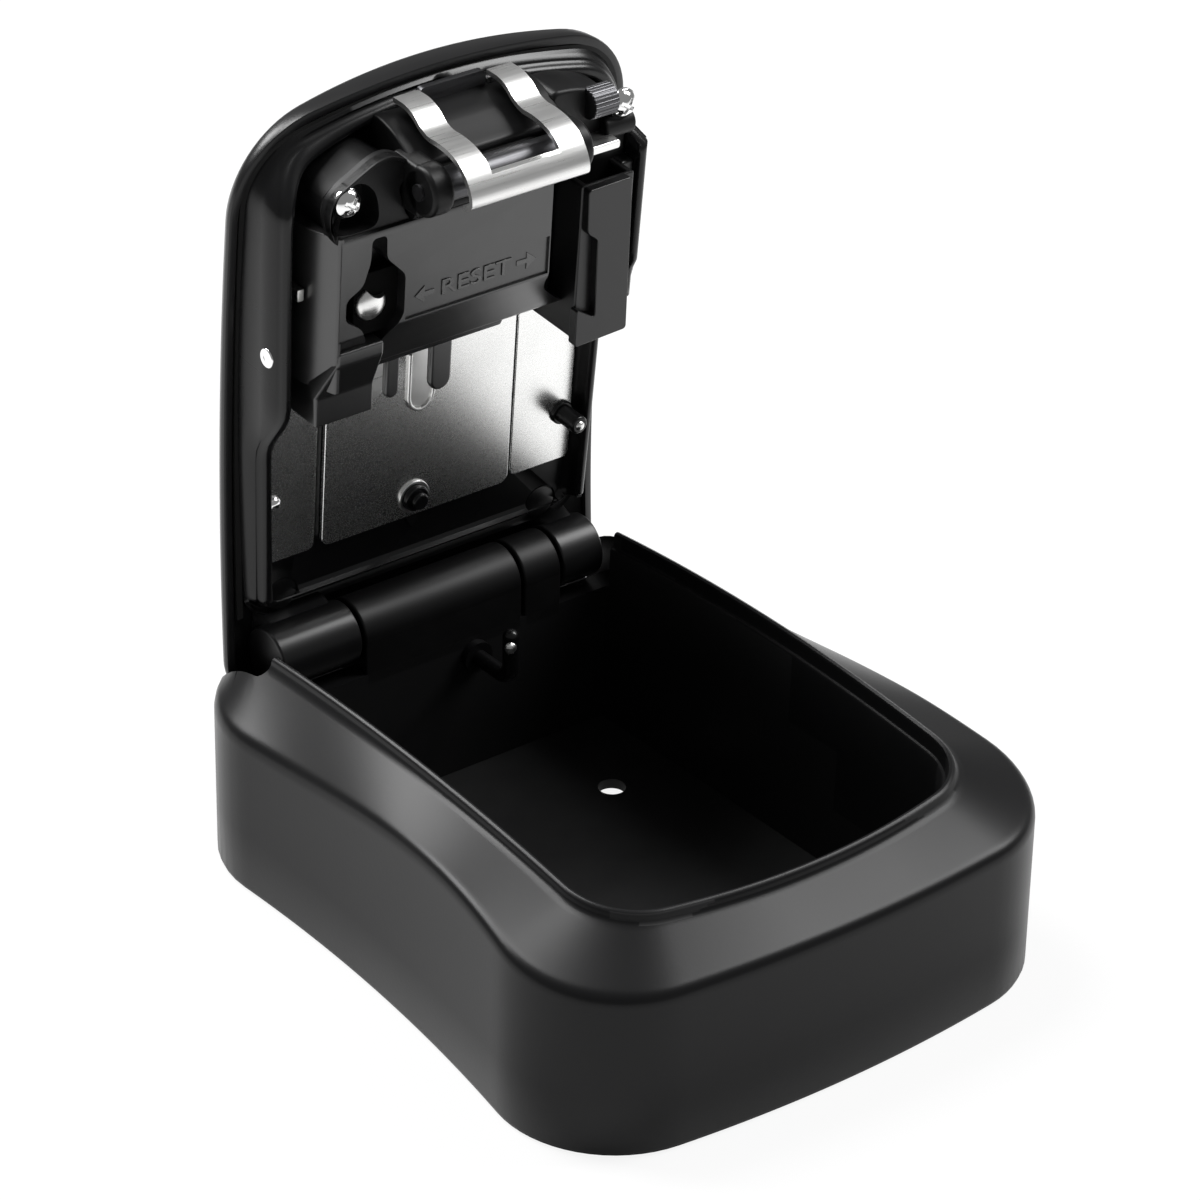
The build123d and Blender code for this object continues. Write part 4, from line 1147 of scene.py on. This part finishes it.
on_lid(lock_box(), satin_plastic, ["lock_housing"])
on_lid(ear_plate(), ramp_plastic)
on_lid(ear_seat(), ramp_plastic)
on_lid(guard_tower(), guard_plastic, ["side_tower"])
on_lid(cap_body(), ramp_plastic, ["housing_cap"])
on_lid(spring_clip(), polished_steel, ["latch_clip"])
paint_node("latch_shaft", dark_steel)
ear_screws = join("ear_screws", [pan_screw(*place, SCREW_RADIUS) for place in SCREW_PLACES])
on_lid(ear_screws, screw_chrome, ["housing_screws"])
on_lid(link_plate(), polished_steel, ["link_strip"])
on_lid(knurled_sleeve(), dark_steel)
on_lid(reset_words(), relief_plastic)
dress(swing_open(reset_knob()), polished_steel, "reset")
dress(swing_open(reset_slide()), slot_black, "reset", ["reset_lever"])


# plates, peg, post and fixings on the inside of the lid
PEG = (-2.3, 21.6)
POST = (30.5, 28.4)
RIVET_REACH, RIVET_LEVEL = 63.2, -0.6
TAB_EDGE = 0.9


def armour_plate(name, corners, level, thick=0.8, corner=1.4):
    """A flat steel plate with round corners."""
    return rounded(lid_slab(name, soft(corners, corner, 6), level, level + thick), 0.22)


def steel_tab():
    """The tongue pressed from the middle plate, with a turned edge."""
    path = [
        (-4.9, 52.0), (-4.9, 42.6), (-4.4, 41.0), (-3.2, 39.9), (-1.9, 39.6), (-0.6, 39.9), (0.6, 41.0),
        (1.1, 42.6), (1.1, 52.0),
    ]
    inner = [
        (-4.2, 52.0), (-4.2, 42.7), (-3.8, 41.4), (-2.9, 40.6), (-1.9, 40.3), (-0.9, 40.6), (0.0, 41.4),
        (0.4, 42.7), (0.4, 52.0),
    ]
    left, right, low = -14.0 - TAB_EDGE, -11.1 + TAB_EDGE, 46.0 - TAB_EDGE
    around = soft([(left, 58), (right, 58), (right, low), (left, low)], 2)
    rim = rounded(lid_slab("steel_tab", path + inner[::-1], 2.2, 3.2), 0.25)
    leaf = rounded(lid_slab("leaf", inner, 2.7, 3.1), 0.1, 2)
    edge = rounded(lid_slab("edge", around, 2.5, 3.1), 0.25)
    return join("steel_tab", [rim, leaf, edge])


def plate_peg():
    """The stepped peg on the middle plate and the pointer beside it."""
    disc = lid_rod("peg_disc", *PEG, 1.4, 3.4, 2.55, 48)
    stem = lid_rod("stem", *PEG, 0.2, 2.0, 1.6, 40)
    pointer = lid_slab("pointer", [(-4.3, 18.2), (0.3, 18.2), (-1.9, 14.2)], 3.3, 4.2)
    return join("peg_and_pointer", [rounded(disc, 0.4), rounded(stem, 0.35), rounded(pointer, 0.25, 2)])


def peg_ring():
    """The flat bright ring around the peg."""
    ring = lid_rod("peg_ring", *PEG, 2.4, 3.2, 3.25, 56)
    cut(ring, [lid_rod("hole", *PEG, 1.4, 4.2, 2.6, 48)])
    return rounded(ring, 0.2, 2)


def lid_post():
    """The dark post on the right plate with its collar."""
    post = lid_rod("lid_post", *POST, -2.6, 4.2, 1.75, 40)
    collar = lid_rod("collar", *POST, 2.4, 4.2, 2.3, 40)
    return join("lid_post", [rounded(post, 0.5, 4), rounded(collar, 0.3)])


def side_fixings():
    """The rivet in the lid's left wall and the small screw on the left plate."""
    y, z = HINGE_Y - RIVET_REACH, HINGE_Z + RIVET_LEVEL
    rivet = rounded(rod("rivet", (-37.05, y, z), 1.9, 1.1, "X", 40), 0.3)
    cap = ball("rivet_cap", (-37.4, y, z), 1.05, (0.25, 1, 1), 24)
    return join("side_fixings", [rivet, cap, pan_screw(-32.7, 30.0, 2.2, 1.5)])


left_corners = [(-34.2, 17.6), (-23.5, 17.6), (-23.5, 54.2), (-30.2, 54.2), (-34.2, 46)]
middle_corners = [(-22.0, 17.5), (18.9, 17.5), (18.9, 60.4), (-22.0, 60.4)]
right_corners = [(19.5, 18.2), (32.9, 18.2), (32.9, 53.0), (19.5, 53.0)]
on_lid(armour_plate("plate_left", left_corners, 3.2), plate_steel, ["armour_left"])
middle_plate = armour_plate("plate_middle", middle_corners, 2.9, 1.0, 1.8)
on_lid(middle_plate, plate_steel, ["armour_middle"])
on_lid(armour_plate("plate_right", right_corners, 3.2), plate_steel, ["armour_right"])
on_lid(steel_tab(), polished_steel)
on_lid(plate_peg(), gloss_plastic, ["plate_peg"])
on_lid(peg_ring(), polished_steel)
on_lid(lid_post(), gloss_plastic, ["guide_post"])
post_tip = ball("post_tip", (POST[0], HINGE_Y - POST[1], HINGE_Z - 2.5), 0.95, (1, 1, 0.7), 24)
on_lid(post_tip, polished_steel)
on_lid(side_fixings(), screw_chrome, ["side_screws"])
side_catch = lid_box("side_catch", -34.2, -32.8, 75.0, 77.4, -4.6, -1.0)
on_lid(rounded(side_catch, 0.25, 2), zinc_steel)


# the outside of the lid: dials, frame, cover and release
DIAL_PLACES = (-10.8, -3.6, 3.6, 10.8)
LANDS = 10
COVER_TOP, SLIDER_TOP = 17.7, 14.6
RIB_STEP = 1.9


def number_wheel(name):
    """A wheel with ten lands, each with its number, and a flute between them."""
    wheel = rod(name, (0, 0, 0), DIAL_RADIUS, 6.2, "X", 120)
    flutes = []
    numbers = []
    for number in range(LANDS):
        turn = math.radians(36 * number + 18)
        place = (0, -math.sin(turn) * (DIAL_RADIUS + 0.25), math.cos(turn) * (DIAL_RADIUS + 0.25))
        flutes.append(rod("flute", place, 0.95, 9, "X", 20))
    cut(wheel, [join("flutes", flutes)])
    cut(wheel, [rod("bore", (0, 0, 0), 2.1, 9, "X", 32)])
    rounded(wheel, 0.25, 2, 40)
    wheel.data.materials.append(dial_steel)
    for number in range(LANDS):
        turn = Matrix.Rotation(math.radians(36 * number), 4, "X")
        place = turn @ Matrix.Translation((0, 0, DIAL_RADIUS * MM)) @ Matrix.Rotation(math.pi, 4, "Z")
        numbers.append(lettering("number", str(number), 4.6, 0.12, place))
    words = join("numbers", numbers)
    words.data.materials.clear()
    words.data.materials.append(number_ink)
    return join(name, [wheel, words])


def set_wheels():
    """Four wheels from one, each on its own body and with both of its finishes."""
    first_wheel = number_wheel("wheel_1")
    for number, across in enumerate(DIAL_PLACES, start=1):
        spot = Matrix.Translation(Vector((across, HINGE_Y - DIAL_REACH, HINGE_Z + DIAL_LEVEL)) * MM)
        wheel = swing_open(copied(first_wheel, f"number_wheel_{number}", spot))
        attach(wheel, f"dial_{number}")
        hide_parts(f"dial_{number}")
    bpy.data.objects.remove(first_wheel)


def softened(node, body, width):
    """A copy of a moulded piece with its edges rounded, which stands for it."""
    piece = outwards(copied(nodes[node], f"{node}_moulded", Matrix.Identity(4)))
    modifier(piece, "DECIMATE", decimate_type="DISSOLVE", angle_limit=math.radians(1))
    return dress(rounded(piece, width), guard_plastic, body, [node])


def grip_ribs(name, half_width, first, count, level):
    """Rounded ribs for the thumb."""
    ribs = []
    for step in range(count):
        reach = first + RIB_STEP * step
        bar = lid_box("rib", -half_width, half_width, reach - 0.45, reach + 0.45, level - 0.4, level + 0.55)
        ribs.append(rounded(bar, 0.3))
    return swing_open(join(name, ribs))


set_wheels()
softened("dial_bezel", "lid", 0.35)
softened("cover_rails", "lid", 0.4)
softened("dial_cover", "cover", 0.6)
softened("release_slider", "release", 0.6)
paint_node("latch_bolt", dark_steel)
dress(grip_ribs("cover_ribs", 14, 22.4, 6, COVER_TOP), satin_plastic, "cover")
dress(grip_ribs("slider_ribs", 8.5, 90.4, 4, SLIDER_TOP), satin_plastic, "release")

# the key hook, with a bright tip near its top
paint_node("key_hook", gloss_plastic)
hook_low, hook_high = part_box("key_hook")
hook_tip = ball("hook_tip", (5.2, hook_low[1] / MM + 0.5, hook_high[2] / MM - 3.0), 1.2, (1, 0.8, 1), 24)
dress(hook_tip, polished_steel, "case")


# the studio: places in metres, the lens and the sensor in millimetres
FLOOR_SHADE = 0.72
FLOOR_GLOW_SEEN, FLOOR_GLOW_MIRRORED = 0.88, 0.35
WORLD_LIGHT = 0.25
AIM = (0, 0, 0.04)
# The lamps: name, place, width and height, and power in watts.
LAMPS = (
    ("back_box", (-0.41, 0.87, 0.93), (0.56, 0.50), 17),
    ("top_box", (-0.17, 0.45, 1.20), (0.40, 0.42), 11),
    ("right_box", (0.84, -0.30, 1.02), (0.45, 0.80), 18),
)
CAMERA_TURN, CAMERA_RISE, CAMERA_ROLL = (math.radians(angle) for angle in (-38.097, 30.542, 1.133))
CAMERA_PLACE = (-0.45575, -0.57973, 0.49631)
CAMERA_LENS, CAMERA_SENSOR = 150.025, 36.0


def stage_floor():
    """A pale floor that glows towards the camera and, more faintly, in the mirror of the steel."""
    bpy.ops.object.select_all(action="DESELECT")
    bpy.ops.mesh.primitive_plane_add(size=8, location=(0, 0, 0))
    floor = bpy.context.object
    floor.name = "studio_floor"
    material, tree, shader = new_material("floor_white")
    shader.inputs["Base Color"].default_value = (*grey(FLOOR_SHADE), 1)
    shader.inputs["Roughness"].default_value = 0.9
    shader.inputs["Specular IOR Level"].default_value = 0.1
    made, links = tree.nodes, tree.links
    ray = made.new("ShaderNodeLightPath").outputs
    mirrored = worked_out(made, links, "MULTIPLY", ray["Is Glossy Ray"], FLOOR_GLOW_MIRRORED)
    share = worked_out(made, links, "MULTIPLY_ADD", ray["Is Camera Ray"], FLOOR_GLOW_SEEN, mirrored)
    glow = made.new("ShaderNodeEmission")
    mix = made.new("ShaderNodeMixShader")
    links.new(share, mix.inputs["Fac"])
    links.new(shader.outputs["BSDF"], mix.inputs[1])
    links.new(glow.outputs["Emission"], mix.inputs[2])
    links.new(mix.outputs["Shader"], made["Material Output"].inputs["Surface"])
    floor.data.materials.append(material)


def softbox(name, place, size, watts):
    """A large soft lamp pointed at the safe."""
    lamp = bpy.data.lights.new(name, "AREA")
    lamp.shape = "RECTANGLE"
    lamp.size, lamp.size_y = size
    lamp.energy = watts
    obj = linked(name, lamp)
    obj.location = place
    obj.rotation_euler = (Vector(AIM) - Vector(place)).to_track_quat("-Z", "Y").to_euler()


def studio():
    """The floor, a white surround that lights the safe only a little, and the lamps."""
    stage_floor()
    world = bpy.data.worlds.new("studio_white")
    bpy.context.scene.world = world
    world.use_nodes = True
    tree = world.node_tree
    back = tree.nodes["Background"]
    back.inputs["Color"].default_value = (1, 1, 1, 1)
    ray = tree.nodes.new("ShaderNodeLightPath").outputs
    level = spread(tree.nodes, tree.links, ray["Is Camera Ray"], 0.0, 1.0, WORLD_LIGHT, 1.0)
    tree.links.new(level, back.inputs["Strength"])
    for name, place, size, watts in LAMPS:
        softbox(name, place, size, watts)
    bpy.context.scene.view_settings.view_transform = "Standard"


def photo_camera():
    """The photo's camera: a long lens from the front left, turned, raised and rolled by the fitted angles."""
    level = math.cos(CAMERA_RISE)
    back = Vector((math.sin(CAMERA_TURN) * level, -math.cos(CAMERA_TURN) * level, math.sin(CAMERA_RISE)))
    right = (-back).cross(Vector((0, 0, 1))).normalized()
    up = right.cross(-back)
    across = right * math.cos(CAMERA_ROLL) + up * math.sin(CAMERA_ROLL)
    above = up * math.cos(CAMERA_ROLL) - right * math.sin(CAMERA_ROLL)
    camera = bpy.data.cameras.new("photo_camera")
    camera.lens, camera.sensor_width = CAMERA_LENS, CAMERA_SENSOR
    camera.clip_start, camera.clip_end = 0.05, 20
    obj = linked("photo_camera", camera)
    place = Matrix((across, above, back)).transposed().to_4x4()
    place.translation = Vector(CAMERA_PLACE)
    obj.matrix_world = place
    bpy.context.scene.camera = obj


studio()
photo_camera()
